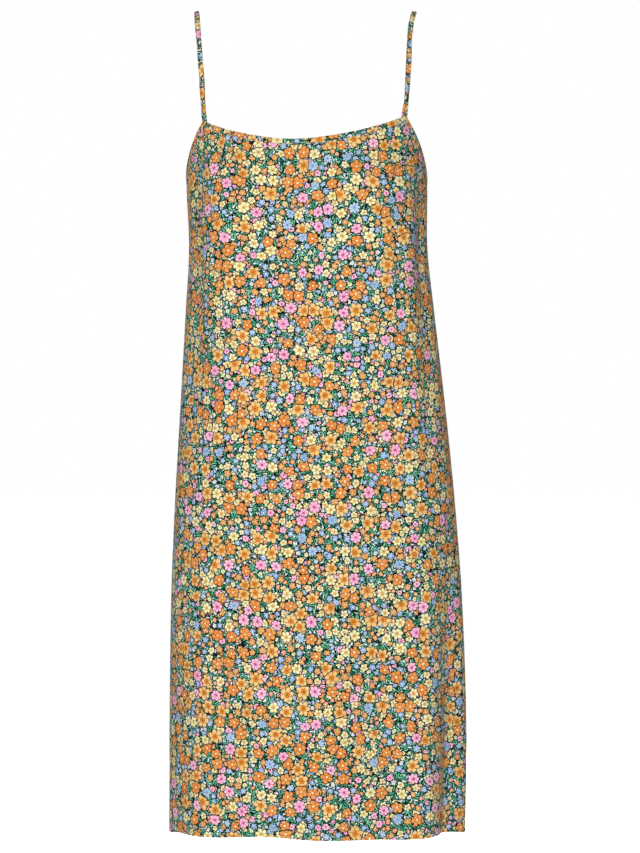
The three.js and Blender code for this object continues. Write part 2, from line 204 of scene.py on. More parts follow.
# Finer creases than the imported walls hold: pulls under the straps, drags from the bust to the side seams,
# and slack across the waist and the lap. Each runs between two places, given as (distance round, drop).
FRONT_CREASES = (
    Crease((-112, 160), (-86, 238), 4.5, -0.9, 3),
    Crease((106, 158), (84, 230), 4.5, -0.9, -3),
    Crease((-128, 178), (-96, 262), 5.0, 0.9, 4),
    Crease((124, 182), (98, 258), 5.0, 0.8, -4),
    Crease((-150, 214), (-92, 262), 4.0, -1.0, 3),
    Crease((-154, 232), (-104, 292), 4.5, 0.8, 2),
    Crease((152, 220), (104, 270), 4.0, -1.0, -3),
    Crease((150, 246), (96, 312), 5.0, 0.8, -3),
    Crease((-146, 300), (-70, 332), 5.0, -0.7, -4),
    Crease((148, 320), (72, 352), 5.0, -0.7, 4),
    Crease((-40, 300), (-58, 470), 9.0, -0.8, 4),
    Crease((34, 290), (52, 500), 10.0, -0.8, -5),
    Crease((-118, 380), (-128, 640), 10.0, -1.2, 5),
    Crease((118, 400), (138, 700), 9.0, -1.3, -4),
    Crease((-52, 560), (-60, 930), 12.0, 1.1, 4),
    Crease((60, 600), (74, 950), 11.0, 1.1, -5),
    Crease((-100, 700), (-112, 965), 8.0, 1.2, -3),
    Crease((112, 720), (124, 968), 8.0, 1.1, 3),
    Crease((-10, 640), (-14, 940), 9.0, -0.9, 3),
)
BACK_CREASES = (
    Crease((-112, 180), (-84, 262), 5.0, -1.0, 3),
    Crease((112, 182), (84, 258), 5.0, -1.0, -3),
    Crease((-140, 226), (-88, 300), 5.0, 0.9, 3),
    Crease((142, 232), (90, 306), 5.0, 0.9, -3),
    Crease((-120, 330), (-30, 372), 7.0, -1.1, -6),
    Crease((122, 344), (40, 384), 7.0, -1.0, 6),
    Crease((-64, 388), (34, 410), 7.0, 0.9, 5),
    Crease((-40, 470), (-52, 900), 11.0, 1.3, 4),
    Crease((48, 500), (60, 940), 11.0, -1.3, -5),
    Crease((-118, 560), (-128, 960), 10.0, -1.5, 4),
    Crease((128, 540), (142, 950), 10.0, 1.4, -4),
    Crease((0, 620), (-6, 965), 8.0, -1.2, 3),
)

STRAP_PATHS = {
    "left": (
        (-120.2, -65, -112),
        (-122.3, -58, -76),
        (-125.2, -45, -40),
        (-128, -26, -12),
        (-130.2, 0, -STRAP_THICK / 2),
        (-130.4, 27, -13),
        (-128.4, 46, -42),
        (-125.8, 57, -82),
        (-123.6, 61, -122),
    ),
    "right": (
        (120.2, -65, -108),
        (122.6, -58, -74),
        (123.9, -45, -39),
        (127.8, -26, -12),
        (131.2, 0, -STRAP_THICK / 2),
        (127.8, 27, -13),
        (126.2, 46, -42),
        (124.8, 57, -82),
        (121.7, 61, -122),
    ),
}


def smooth_step(t: np.ndarray) -> np.ndarray:
    """Returns t eased from 0 at 0 to 1 at 1."""
    t = np.clip(t, 0, 1)
    return t * t * (3 - 2 * t)


def bell(t: np.ndarray) -> np.ndarray:
    """Returns a bell curve, 1 at 0 and falling to both sides."""
    return np.exp(-(t * t))


def station_value(column: str, drop: np.ndarray) -> np.ndarray:
    """One size of the dress at each drop, as a smooth cubic through the stations.

    Args:
        column: Name of the station's size.
        drop: Drops below the shoulders, in millimetres.

    Returns:
        The size at each drop.
    """
    at = np.array([s.drop for s in STATIONS])
    values = np.array([getattr(s, column) for s in STATIONS])
    last = len(at) - 1
    before, after = np.maximum(np.arange(last + 1) - 1, 0), np.minimum(np.arange(last + 1) + 1, last)
    slopes = (values[after] - values[before]) / (at[after] - at[before])
    i = np.clip(np.searchsorted(at, drop, side="left") - 1, 0, last - 1)
    span = at[i + 1] - at[i]
    t = np.clip((drop - at[i]) / span, 0, 1)
    t2, t3 = t * t, t * t * t
    return (
        (2 * t3 - 3 * t2 + 1) * values[i]
        + (t3 - 2 * t2 + t) * span * slopes[i]
        + (3 * t2 - 2 * t3) * values[i + 1]
        + (t3 - t2) * span * slopes[i + 1]
    )


@dataclass
class Panel:
    """One panel of the dress: its cut, the folds in it, and its cloth mesh."""

    half: Half
    folds: Sequence[Fold]
    creases: Sequence[Crease]
    hem_waves: Sequence[Wave]
    neck_low: float
    neck_drop: float
    neck_curve: float
    corners: dict[str, tuple[float, float]]
    bust_high: float = 0.0
    bust_drop: float = 236.0
    bust_apart: float = 82.0  # from the middle, measured round
    bust_width: float = 44.0
    bust_above: float = 52.0
    bust_below: float = 190.0
    armhole_curve: float = 1.4
    columns: int = 168
    rows: int = 264
    steps: int = 160
    hem_turn: float = 13.0
    hem_stitch: float = 1.2  # from the turning's raw edge down to its stitching
    seam_dip: float = 0.5  # how far the cloth dips into the side seams
    stitch_dip: float = 0.22
    fold_round: float = 0.6  # from the hem's fold up to where the cloth lies flat
    edge_under: float = 0.2  # from the top edge down to where the cloth ends, inside the binding
    low_share: float = field(init=False)
    corner_shares: dict[str, float] = field(init=False)

    def __post_init__(self) -> None:
        """Finds where round the panel its lowest neck point and its two corners lie."""
        self.low_share = self.share_at(self.neck_low, self.neck_drop)
        self.corner_shares = {side: self.share_at(x, drop) for side, (x, drop) in self.corners.items()}

    @property
    def name(self) -> str:
        """Returns the word that the panel's nodes start with."""
        return self.half.name.lower()

    def stand_off(self, round_: np.ndarray, drop: np.ndarray) -> np.ndarray:
        """How far the cloth stands off its plain section.

        Args:
            round_: Distances round from the middle of the panel, in millimetres.
            drop: Drops below the shoulders, in millimetres.

        Returns:
            Heights, outwards.
        """
        off = sum(shape.height(round_, drop) for shape in (*self.folds, *self.creases))
        away = drop - self.bust_drop
        tall = np.where(away < 0, bell(away / self.bust_above), bell(away / self.bust_below))
        return off + self.bust_high * tall * bell((np.abs(round_) - self.bust_apart) / self.bust_width)

    def surface(self, share: np.ndarray, drop: np.ndarray) -> tuple[np.ndarray, np.ndarray]:
        """Points on the cloth's outer face.

        Args:
            share: Shares of the way round, from -1 at one side seam to 1 at the other.
            drop: Drops below the shoulders, in millimetres.

        Returns:
            The points, in millimetres, and their distances round from the middle.
        """
        share, drop = np.atleast_1d(share).astype(float), np.atleast_1d(drop).astype(float)
        facing = self.half.value
        depth = station_value(self.name, drop)[:, None]
        power = station_value(f"{self.name}_square", drop)[:, None]
        angle = (np.arange(self.steps + 1) / self.steps - 0.5) * np.pi
        across, ahead = np.sin(angle)[None, :], np.cos(angle)[None, :]
        left, right = station_value("left", drop)[:, None], station_value("right", drop)[:, None]
        half = np.where(across < 0, left, right)
        radius = ((np.abs(across) / half) ** power + (np.abs(ahead) / depth) ** power) ** (-1 / power)
        x, y = radius * across, facing * radius * ahead
        step = np.hypot(np.diff(x, axis=1), np.diff(y, axis=1))
        rounds = np.concatenate([np.zeros((len(drop), 1)), np.cumsum(step, axis=1)], axis=1)
        rounds -= rounds[:, [self.steps // 2]]
        target = np.where(share < 0, -share * rounds[:, 0], share * rounds[:, -1])
        i = np.clip((rounds < target[:, None]).sum(axis=1) - 1, 0, self.steps - 1)
        row = np.arange(len(drop))
        t = (target - rounds[row, i]) / (rounds[row, i + 1] - rounds[row, i])
        dx, dy = x[row, i + 1] - x[row, i], y[row, i + 1] - y[row, i]
        length = np.hypot(dx, dy)
        off = self.stand_off(target, drop)
        points = np.stack(
            [
                x[row, i] + dx * t - facing * dy / length * off,
                y[row, i] + dy * t + facing * dx / length * off,
                -drop,
            ],
            axis=1,
        )
        return points, target

    def share_at(self, x: float, drop: float) -> float:
        """Returns the share of the way round at which the panel reaches x at a drop."""
        low, high = -1.0, 1.0
        for _ in range(30):
            middle = (low + high) / 2
            if self.surface(middle, drop)[0][0, 0] < x:
                low = middle
            else:
                high = middle
        return (low + high) / 2

    def edge_drop(self, share: np.ndarray) -> np.ndarray:
        """The drop of the top edge: the neck between the corners, and an armhole outside each.

        Args:
            share: Shares of the way round.

        Returns:
            The drop at each share, in millimetres.
        """
        share = np.asarray(share, float)
        side_left = share < self.low_share
        corner = np.where(side_left, self.corner_shares["left"], self.corner_shares["right"])
        corner_drop = np.where(side_left, self.corners["left"][1], self.corners["right"][1])
        in_neck = np.where(side_left, share >= corner, share <= corner)
        t_neck = np.clip((share - self.low_share) / (corner - self.low_share), 0, 1)
        neck = self.neck_drop + (corner_drop - self.neck_drop) * t_neck**self.neck_curve
        t_arm = np.clip((np.abs(share) - np.abs(corner)) / (1 - np.abs(corner)), 0, 1)
        arm = corner_drop + (UNDERARM_DROP - corner_drop) * (1 - (1 - t_arm) ** self.armhole_curve)
        return np.where(in_neck, neck, arm)

    def hem_drop(self, share: np.ndarray) -> np.ndarray:
        """Returns the drop of the hem at shares of the way round."""
        _, rounds = self.surface(share, np.full_like(share, HEM_DROP))
        return HEM_DROP + sum(wave.lower * bell((rounds - wave.at) / wave.width) for wave in self.hem_waves)

    def edge_frame(self, share: np.ndarray) -> tuple[np.ndarray, np.ndarray, np.ndarray, np.ndarray]:
        """The top edge as a line with directions.

        Args:
            share: Shares of the way round.

        Returns:
            Points on the outer face along the edge, the ways outwards and up the cloth square to the edge,
            and the distance along the edge.
        """
        drop = self.edge_drop(share)
        points, _ = self.surface(share, drop)
        lower, _ = self.surface(share, drop + 4.0)
        along = np.gradient(points, axis=0)
        along /= np.linalg.norm(along, axis=1, keepdims=True)
        down = lower - points
        out = np.cross(along, down) * self.half.value
        out /= np.linalg.norm(out, axis=1, keepdims=True)
        up = np.cross(out, along) * self.half.value
        up *= np.sign((up * -down).sum(axis=1, keepdims=True))
        distance = np.concatenate([[0], np.cumsum(np.linalg.norm(np.diff(points, axis=0), axis=1))])
        return points, out, up, distance

    def shares(self) -> np.ndarray:
        """Returns the shares of the columns, with one on each corner."""
        left, right = self.corner_shares["left"], self.corner_shares["right"]
        side = max(8, round(self.columns * (1 - right) / 2))
        middle = self.columns - 2 * side
        return np.concatenate(
            [
                np.linspace(-1, left, side + 1)[:-1],
                np.linspace(left, right, middle + 1)[:-1],
                np.linspace(right, 1, side + 1),
            ]
        )

    def build(self, cloth: bpy.types.Material, wrong_side: bpy.types.Material) -> bpy.types.Object:
        """Makes the panel's cloth, turned up inside at the hem, as a shell with a right and a wrong side.

        Args:
            cloth: The material of its right side.
            wrong_side: The material of its wrong side.

        Returns:
            The panel's object.
        """
        shares = self.shares()
        edge, hem = self.edge_drop(shares), self.hem_drop(shares)
        seam = self.seam_dip * bell((1 - np.abs(shares)) / 0.004)
        rows_up: list[np.ndarray] = []
        maps: list[np.ndarray] = []
        rightwards = -self.half.value
        # Rise above the hem and inset of each row: down the turning from its raw edge, then round the fold.
        turn = [(self.hem_turn * (1 - i / 8), 1.35) for i in range(8)]
        turn += [(0.35, 1.3), (0.05, 1.0), (-0.05, 0.55), (0.1, 0.15)]
        for rise, inset in turn:
            drop = hem - rise
            points, rounds = self.surface(shares, drop)
            out = self.outwards(shares, drop)
            rows_up.append(points - out * (inset + seam)[:, None])
            maps.append(np.stack([rightwards * rounds, -(hem + rise)], axis=1))
        first, last = hem - self.fold_round, edge + self.edge_under
        for i in range(self.rows + 1):
            drop = first + (last - first) * i / self.rows
            points, rounds = self.surface(shares, drop)
            out = self.outwards(shares, drop)
            stitched = self.stitch_dip * bell((hem - drop - self.hem_turn + self.hem_stitch) / 1.1)
            rows_up.append(points - out * (seam + stitched)[:, None])
            maps.append(np.stack([rightwards * rounds, -drop], axis=1))
        grid = np.stack(rows_up)
        obj = grid_mesh(f"{self.name}_panel_cloth", grid * MM, np.stack(maps) * MM, self.half is Half.FRONT)
        obj.data.materials.append(cloth)
        obj.data.materials.append(wrong_side)
        wall = obj.modifiers.new("Cloth thickness", "SOLIDIFY")
        wall.thickness = CLOTH_THICK * MM
        wall.offset = -1.0
        wall.material_offset = 1
        apply_modifiers(obj)
        return obj

    def hem_stitch_line(self) -> tuple[np.ndarray, np.ndarray]:
        """Returns the line of the hem's stitching on the outer face, and the ways outwards along it."""
        shares = np.linspace(-0.996, 0.996, 420)
        drop = self.hem_drop(shares) - self.hem_turn + self.hem_stitch
        return self.surface(shares, drop)[0], self.outwards(shares, drop)

    def outwards(self, shares: np.ndarray, drop: np.ndarray) -> np.ndarray:
        """Returns the way outwards from the cloth at each column of a row."""
        ahead, _ = self.surface(np.clip(shares + 0.004, -1, 1), drop)
        behind, _ = self.surface(np.clip(shares - 0.004, -1, 1), drop)
        below, _ = self.surface(shares, drop + 3.0)
        here, _ = self.surface(shares, drop)
        out = np.cross(ahead - behind, below - here) * self.half.value
        return out / np.linalg.norm(out, axis=1, keepdims=True)


def grid_mesh(name: str, grid: np.ndarray, cloth_map: np.ndarray, flip: bool) -> bpy.types.Object:
    """A mesh of quads through a grid of points.

    Args:
        name: Name of the object.
        grid: Points in metres, by row and column.
        cloth_map: Place on the cloth of each point, in metres.
        flip: Whether to turn the faces round.

    Returns:
        The object, linked to the scene.
    """
    rows, columns = grid.shape[:2]
    at = np.arange(rows * columns).reshape(rows, columns)
    quads = np.stack([at[:-1, :-1], at[:-1, 1:], at[1:, 1:], at[1:, :-1]], axis=-1).reshape(-1, 4)
    if not flip:
        quads = quads[:, ::-1]
    return mesh_object(name, grid.reshape(-1, 3), quads, cloth_map.reshape(-1, 2)[quads].reshape(-1, 2))


def mesh_object(name: str, points: np.ndarray, faces: np.ndarray, corners: np.ndarray) -> bpy.types.Object:
    """A mesh object from points, faces and the cloth map of the faces' corners.

    Args:
        name: Name of the object.
        points: Points in metres.
        faces: Point numbers of each face.
        corners: Place on the cloth of each corner, in metres.

    Returns:
        The object, linked to the scene and shaded smooth.
    """
    mesh = bpy.data.meshes.new(name)
    mesh.from_pydata(points.tolist(), [], faces.tolist())
    layer = mesh.uv_layers.new(name=CLOTH_MAP)
    layer.uv.foreach_set("vector", corners.astype(np.float32).ravel())
    mesh.shade_smooth()
    obj = bpy.data.objects.new(name, mesh)
    bpy.context.collection.objects.link(obj)
    return obj


def apply_modifiers(obj: bpy.types.Object) -> None:
    """Applies every modifier of an object, in order."""
    bpy.ops.object.select_all(action="DESELECT")
    obj.select_set(True)
    bpy.context.view_layer.objects.active = obj
    for modifier in list(obj.modifiers):
        bpy.ops.object.modifier_apply(modifier=modifier.name)


def tube_mesh(name: str, rings: np.ndarray, along: np.ndarray, around: np.ndarray) -> bpy.types.Object:
    """A closed tube through rings of points, capped at both ends.

    Args:
        name: Name of the object.
        rings: Points in metres, by ring and place round the ring.
        along: Distance along the tube of each ring, in metres.
        around: Distance round the ring of each place, and once more where it closes, in metres.

    Returns:
        The object, linked to the scene.
    """
    count, sides = rings.shape[:2]
    at = np.arange(count * sides).reshape(count, sides)
    following = np.roll(at, -1, axis=1)
    quads = np.stack([at[:-1], following[:-1], following[1:], at[1:]], axis=-1).reshape(-1, 4)
    u = np.broadcast_to(along[:, None], (count, sides))
    low, high = np.broadcast_to(around[:-1], (count, sides)), np.broadcast_to(around[1:], (count, sides))
    corners = np.stack(
        [
            np.stack([u[:-1], low[:-1]], -1),
            np.stack([u[:-1], high[:-1]], -1),
            np.stack([u[1:], high[1:]], -1),
            np.stack([u[1:], low[1:]], -1),
        ],
        axis=2,
    ).reshape(-1, 2)
    obj = mesh_object(name, rings.reshape(-1, 3), quads, corners)
    work = bmesh.new()
    work.from_mesh(obj.data)
    open_edges = [edge for edge in work.edges if edge.is_boundary]
    bmesh.ops.holes_fill(work, edges=open_edges, sides=0)
    bmesh.ops.recalc_face_normals(work, faces=work.faces)
    work.to_mesh(obj.data)
    work.free()
    obj.data.shade_smooth()
    return obj


def way_round(section: np.ndarray) -> np.ndarray:
    """Returns the distance round a closed section at each of its points, and once more where it closes."""
    steps = np.linalg.norm(np.diff(section, axis=0, append=section[:1]), axis=1)
    return np.concatenate([[0], np.cumsum(steps)])


@dataclass
class Binding:
    """A bias strip folded over a stretch of a panel's top edge."""

    name: str
    panel: Panel
    start: float
    end: float
    count: int
    wall: float = 0.55
    fold_up: float = 0.25  # how far above the edge the strip's round fold starts
    fold_high: float = 0.95
    stitch_up: float = 1.15  # from the strip's lower edge to its stitching, which pulls it in

    def profile(self) -> np.ndarray:
        """Returns the strip's section as (outwards, up), from its outer face round to the inner one."""
        outside, inside = self.wall, -PACKED_WALL - self.wall
        middle, low = (outside + inside) / 2, -BINDING_WIDTH
        # Share of the wall's reach, and height above the lower edge: turned edge, roll, stitching and roll.
        dent = self.stitch_up
        rolls = ((0.8, -0.12), (1.05, 0.5), (0.72, dent), (1.02, dent + 0.75), (1.12, 3.9))
        face = [(0.06, low), *((outside * share, low + up) for share, up in rolls)]
        arch = [
            (middle + (outside - middle) * math.cos(turn), self.fold_up + self.fold_high * math.sin(turn))
            for turn in np.linspace(0, np.pi, 7)
        ]
        back = [(inside * (0.79 + 0.22 * share), low + up) for share, up in reversed(rolls)]
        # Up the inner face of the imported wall, over its top, and down to the start.
        core = [(-PACKED_WALL - 0.02, low), (-PACKED_WALL - 0.05, -0.4), (0.05, -0.4)]
        return np.array(face + arch + back + core)

    def build(self) -> bpy.types.Object:
        """Sweeps the strip's section along the edge.

        Returns:
            The binding's object.
        """
        shares = np.linspace(self.start, self.end, self.count + 1)
        points, out, up, distance = self.panel.edge_frame(shares)
        section = self.profile()
        # The strip puckers a little, unevenly, between its stitches.
        pucker = 1 + 0.05 * np.sin(distance * 2.1) + 0.04 * np.sin(distance * 0.83 + 1.3)
        rings = (
            points[:, None, :]
            + out[:, None, :] * (section[None, :, 0] * pucker[:, None])[..., None]
            + up[:, None, :] * section[None, :, 1][..., None]
        )
        return tube_mesh(self.name + "_cloth", rings * MM, distance * MM, way_round(section) * MM)

    def stitch_line(self) -> tuple[np.ndarray, np.ndarray]:
        """Returns the line of the edge stitching on the outer face, and the ways outwards along it."""
        shares = np.linspace(self.start, self.end, self.count * 2 + 1)
        points, out, up, _ = self.panel.edge_frame(shares)
        return points + up * (self.stitch_up - BINDING_WIDTH) + out * self.wall * 0.72, out


def spline(points: np.ndarray, samples: int) -> np.ndarray:
    """A smooth line through points, by centripetal Catmull-Rom spans.

    Args:
        points: The points to pass through.
        samples: Points to return, evenly spaced along the line.

    Returns:
        The line's points.
    """
    padded = np.vstack([2 * points[0] - points[1], points, 2 * points[-1] - points[-2]])
    fine: list[np.ndarray] = []
    for i in range(len(points) - 1):
        a, b, c, d = padded[i : i + 4]
        times = np.cumsum([0.0, *(math.sqrt(np.linalg.norm(q - p)) for p, q in ((a, b), (b, c), (c, d)))])
        for t in np.linspace(times[1], times[2], 24, endpoint=False):
            ab = a + (b - a) * (t - times[0]) / (times[1] - times[0])
            bc = b + (c - b) * (t - times[1]) / (times[2] - times[1])
            cd = c + (d - c) * (t - times[2]) / (times[3] - times[2])
            abc = ab + (bc - ab) * (t - times[0]) / (times[2] - times[0])
            bcd = bc + (cd - bc) * (t - times[1]) / (times[3] - times[1])
            fine.append(abc + (bcd - abc) * (t - times[1]) / (times[2] - times[1]))
    fine.append(points[-1])
    line = np.array(fine)
    at = np.concatenate([[0], np.cumsum(np.linalg.norm(np.diff(line, axis=0), axis=1))])
    even = np.linspace(0, at[-1], samples)
    return np.stack([np.interp(even, at, line[:, k]) for k in range(3)], axis=1)


@dataclass
class Strap:
    """A rouleau strap, its seam underneath, caught inside the corners of both panels."""

    side: str
    front: Panel
    back: Panel
    sides: int = 20
    count: int = 170
    crest_tilt: float = 14.0  # degrees that the strap leans outwards on the shoulder
    squareness: float = 2.6  # of the pressed tube's section, where 2 is round
    roll: float = 0.10  # radians that the tube rolls to and fro on its way

    def seat(self, panel: Panel) -> tuple[np.ndarray, np.ndarray, np.ndarray]:
        """Where the strap lies against the inside of a panel's corner.

        Args:
            panel: The panel.

        Returns:
            The strap's centre low and high on the panel, and the way across it.
        """
        share = panel.corner_shares[self.side]
        drop = panel.corners[self.side][1]
        inwards = PACKED_WALL + SEAM_GAP + STRAP_THICK / 2
        ends = []
        for below in (BINDING_WIDTH, 0.0):
            at = np.array([share]), np.array([drop + below])
            ends.append((panel.surface(*at)[0] - panel.outwards(*at) * inwards)[0])
        across = (
            panel.surface(np.array([share + 0.02]), np.array([drop]))[0]
            - panel.surface(np.array([share - 0.02]), np.array([drop]))[0]
        )[0]
        return ends[0], ends[1], across / np.linalg.norm(across)

    def build(self) -> bpy.types.Object:
        """Sweeps the strap's flattened round section over the shoulder.

        Returns:
            The strap's object.
        """
        front_low, front_high, front_across = self.seat(self.front)
        back_low, back_high, back_across = self.seat(self.back)
        points = np.array([front_low, front_high, *STRAP_PATHS[self.side], back_high, back_low], float)
        line = spline(points, self.count + 1)
        along = np.gradient(line, axis=0)
        along /= np.linalg.norm(along, axis=1, keepdims=True)
        share = np.linspace(0, 1, self.count + 1)
        tilt = math.radians(self.crest_tilt) * (1 if self.side == "left" else -1)
        crest = np.array([math.cos(tilt), 0, math.sin(tilt)])
        turn = smooth_step(np.sin(np.pi * share))[:, None]
        end = np.where((share < 0.5)[:, None], front_across, back_across)
        across = end * (1 - turn) + crest * turn
        across -= along * (across * along).sum(axis=1, keepdims=True)
        across /= np.linalg.norm(across, axis=1, keepdims=True)
        thick = np.cross(along, across)
        twist = self.roll * np.sin(share * 23) * np.sin(np.pi * share) ** 0.5
        wide = across * np.cos(twist)[:, None] + thick * np.sin(twist)[:, None]
        thick = np.cross(along, wide)
        angle = (np.arange(self.sides) / self.sides) * 2 * np.pi
        square = self.squareness
        power = (np.abs(np.cos(angle)) ** square + np.abs(np.sin(angle)) ** square) ** (-1 / square)
        ring = np.stack([power * np.cos(angle), power * np.sin(angle)], axis=1)
        section = ring * (STRAP_WIDTH / 2, STRAP_THICK / 2)
        # The tube is a little broader where its turnings bunch inside.
        swell = 1 + 0.035 * np.sin(share * 61 + 0.7) + 0.025 * np.sin(share * 37)
        rings = (
            line[:, None, :]
            + wide[:, None, :] * (section[None, :, 0] * swell[:, None])[..., None]
            + thick[:, None, :] * section[None, :, 1][..., None]
        )
        length = np.linalg.norm(np.diff(line, axis=0), axis=1).sum()
        LOG.info("strap %s: %.0f mm long", self.side, length)
        name, distance = f"strap_{self.side}_rouleau", share * length
        return tube_mesh(name, rings * MM, distance * MM, way_round(section) * MM)


@dataclass
class Stitching:
    """A row of machine stitches, each a short, sunk bead of thread."""

    name: str
    pitch: float = 3.0
    gap: float = 0.7
    thread: float = 0.34
    sides: int = 6
    rise: float = 0.14  # how far a stitch's middle stands above its ends
    sunk: float = 0.06  # how deep its ends lie in the cloth
    flatness: float = 0.8  # height of its section against its width

    def build(self, lines: Sequence[tuple[np.ndarray, np.ndarray]]) -> bpy.types.Object:
        """Sews stitches along lines.

        Args:
            lines: For each row, its points and the ways outwards along it, in millimetres.

        Returns:
            All the stitches as one object.
        """
        # Share of the way along the stitch, and share of the thread's thickness there.
        profile = ((0.0, 0.15), (0.12, 0.75), (0.5, 1.0), (0.88, 0.75), (1.0, 0.15))
        angle = np.arange(self.sides) / self.sides * 2 * np.pi
        points: list[np.ndarray] = []
        faces: list[list[int]] = []
        for line, out in lines:
            at = np.concatenate([[0], np.cumsum(np.linalg.norm(np.diff(line, axis=0), axis=1))])
            for start in np.arange(self.pitch / 2, at[-1] - self.pitch, self.pitch):
                ends = np.array([start, start + self.pitch - self.gap])
                a, b = (np.array([np.interp(e, at, line[:, k]) for k in range(3)]) for e in ends)
                off = np.array([np.interp(start, at, out[:, k]) for k in range(3)])
                run = b - a
                side = np.cross(run / np.linalg.norm(run), off)
                first = len(points) * self.sides
                for share, swell in profile:
                    centre = a + run * share + off * (self.rise * math.sin(math.pi * share) - self.sunk)
                    ring = centre + (
                        side[None] * np.cos(angle)[:, None]
                        + off[None] * self.flatness * np.sin(angle)[:, None]
                    ) * (swell * self.thread / 2)
                    points.append(ring)
                for i in range(len(profile) - 1):
                    for j in range(self.sides):
                        low, high = first + i * self.sides, first + (i + 1) * self.sides
                        k = (j + 1) % self.sides
                        faces.append([low + j, low + k, high + k, high + j])
                faces.append([first + j for j in range(self.sides)][::-1])
                faces.append([first + (len(profile) - 1) * self.sides + j for j in range(self.sides)])
        mesh = bpy.data.meshes.new(self.name)
        mesh.from_pydata((np.concatenate(points) * MM).tolist(), [], faces)
        work = bmesh.new()
        work.from_mesh(mesh)
        bmesh.ops.recalc_face_normals(work, faces=work.faces)
        work.to_mesh(mesh)
        work.free()
        mesh.shade_smooth()
        obj = bpy.data.objects.new(self.name, mesh)
        bpy.context.collection.objects.link(obj)
        return obj


def linear(colour: str) -> tuple[float, float, float, float]:
    """Returns an sRGB hex colour as linear red, green, blue and alpha."""
    parts = [int(colour[i : i + 2], 16) / 255 for i in (1, 3, 5)]
    return (*(p / 12.92 if p <= 0.04045 else ((p + 0.055) / 1.055) ** 2.4 for p in parts), 1.0)


def add(
    tree: bpy.types.NodeTree, kind: str, inputs: dict | None = None, **settings: object
) -> bpy.types.Node:
    """Adds a node with its settings, values and links.

    Args:
        tree: The node tree.
        kind: The node's type, without the word ShaderNode.
        inputs: For each input, by name or number, a value, a hex colour or the socket that feeds it.
        settings: The node's own properties.

    Returns:
        The node.
    """
    node = tree.nodes.new(f"ShaderNode{kind}")
    for name, value in settings.items():
        setattr(node, name, value)
    for name, value in (inputs or {}).items():
        if isinstance(value, bpy.types.NodeSocket):
            tree.links.new(value, node.inputs[name])
        elif isinstance(value, str):
            node.inputs[name].default_value = linear(value)
        else:
            node.inputs[name].default_value = value
    return node


def group(
    name: str, inputs: dict[str, str], outputs: dict[str, str]
) -> tuple[bpy.types.NodeTree, bpy.types.bpy_prop_collection, bpy.types.Node]:
    """An empty node group.

    Args:
        name: Name of the group.
        inputs: For each input, its kind of socket.
        outputs: For each output, its kind of socket.

    Returns:
        The tree, its input sockets by name, and its output node.
    """
    tree = bpy.data.node_groups.new(name, "ShaderNodeTree")
    for side, sockets in (("INPUT", inputs), ("OUTPUT", outputs)):
        for label, kind in sockets.items():
            tree.interface.new_socket(label, in_out=side, socket_type=f"NodeSocket{kind}")
    entry, leave = tree.nodes.new("NodeGroupInput"), tree.nodes.new("NodeGroupOutput")
    return tree, entry.outputs, leave


@dataclass(frozen=True)
class Blossom:
    """One kind of flower in the print, and the share of a bed's places that it grows on."""

    name: str
    share: float
    radius: float
    petals: int
    notch: float
    sharp: float
    heart: float
    inks: str  # of the petals, their other tone, the veins, the heart and the eye


@dataclass(frozen=True)
class Bed:
    """A layer of flowers that keep clear of one another, spread evenly over the cloth."""

    name: str
    spacing: float
    scatter: float
    seed: float
    blossoms: tuple[Blossom, ...]


@dataclass(frozen=True)
class Tuft:
    """One layer of grassy leaves or slivers in the print, each place holding a few blades side by side."""

    name: str
    spacing: float
    length: float
    width: float
    pitch: float
    blades: float
    share: float
    colour: str
    other: str
    seed: float


# Underneath first. Sizes are millimetres on the cloth.
TUFTS = (
    Tuft("deep leaves", 8.6, 4.8, 1.0, 2.9, 2.0, 1.0, "#175c46", "#2b8766", 3.1),
    Tuft("green blades", 7.0, 4.4, 0.74, 2.6, 2.0, 0.95, "#3a9e78", "#76ca9e", 17.7),
    Tuft("pale blades", 7.4, 3.7, 0.64, 2.4, 1.0, 0.85, "#80ccc2", "#c8e4c2", 29.3),
    Tuft("white slivers", 7.2, 2.5, 0.85, 2.4, 1.0, 0.85, "#e4e6e3", "#c8dae6", 41.9),
)
SEEDLINGS = Bed(
    "seedlings",
    7.6,
    0.78,
    5.3,
    (
        Blossom("blue specks", 0.18, 3.1, 5, 0.40, 0.7, 0.8, "#7c9fca #b2cbe2 #4a6eac #e8eff6 #3c50a0"),
        Blossom("amber specks", 0.20, 3.1, 5, 0.35, 0.7, 0.9, "#dc8a44 #e6b07e #aa5822 #f0debc #d07230"),
        Blossom("lime specks", 0.18, 3.1, 5, 0.35, 0.7, 0.8, "#d8dea0 #e5e2bc #96a86c #e6b66e #b0702c"),
        Blossom("white specks", 0.11, 2.9, 5, 0.40, 0.7, 0.8, "#dce1df #cbd9e5 #8fa4b0 #e8d498 #9a8a50"),
        Blossom("salmon specks", 0.07, 3.0, 5, 0.35, 0.7, 0.8, "#d9937c #e5b59e #a85a48 #ecccae #a04c38"),
        Blossom("rose specks", 0.05, 3.0, 5, 0.35, 0.7, 0.8, "#e89ebc #eec6d6 #c06c8e #c86492 #8c3a5c"),
    ),
)
SMALL_FLOWERS = Bed(
    "small flowers",
    10.6,
    0.66,
    61.7,
    (
        Blossom("amber blooms", 0.24, 4.3, 5, 0.42, 0.6, 1.1, "#d08a44 #deae6e #8f4a1a #ecd8ac #c86a2a"),
        Blossom("blue rounds", 0.15, 4.1, 5, 0.46, 0.6, 1.1, "#7499c6 #adc8e0 #3c62a8 #e8eff6 #4456a8"),
        Blossom("cream stars", 0.24, 4.8, 5, 0.44, 0.7, 1.3, "#dcd396 #e5ddb2 #98985c #e4aa6e #a8682c"),
        Blossom("rose buttons", 0.07, 4.3, 6, 0.36, 0.6, 1.0, "#e99cbc #f0c4d6 #b8628c #cc6a96 #84325a"),
    ),
)
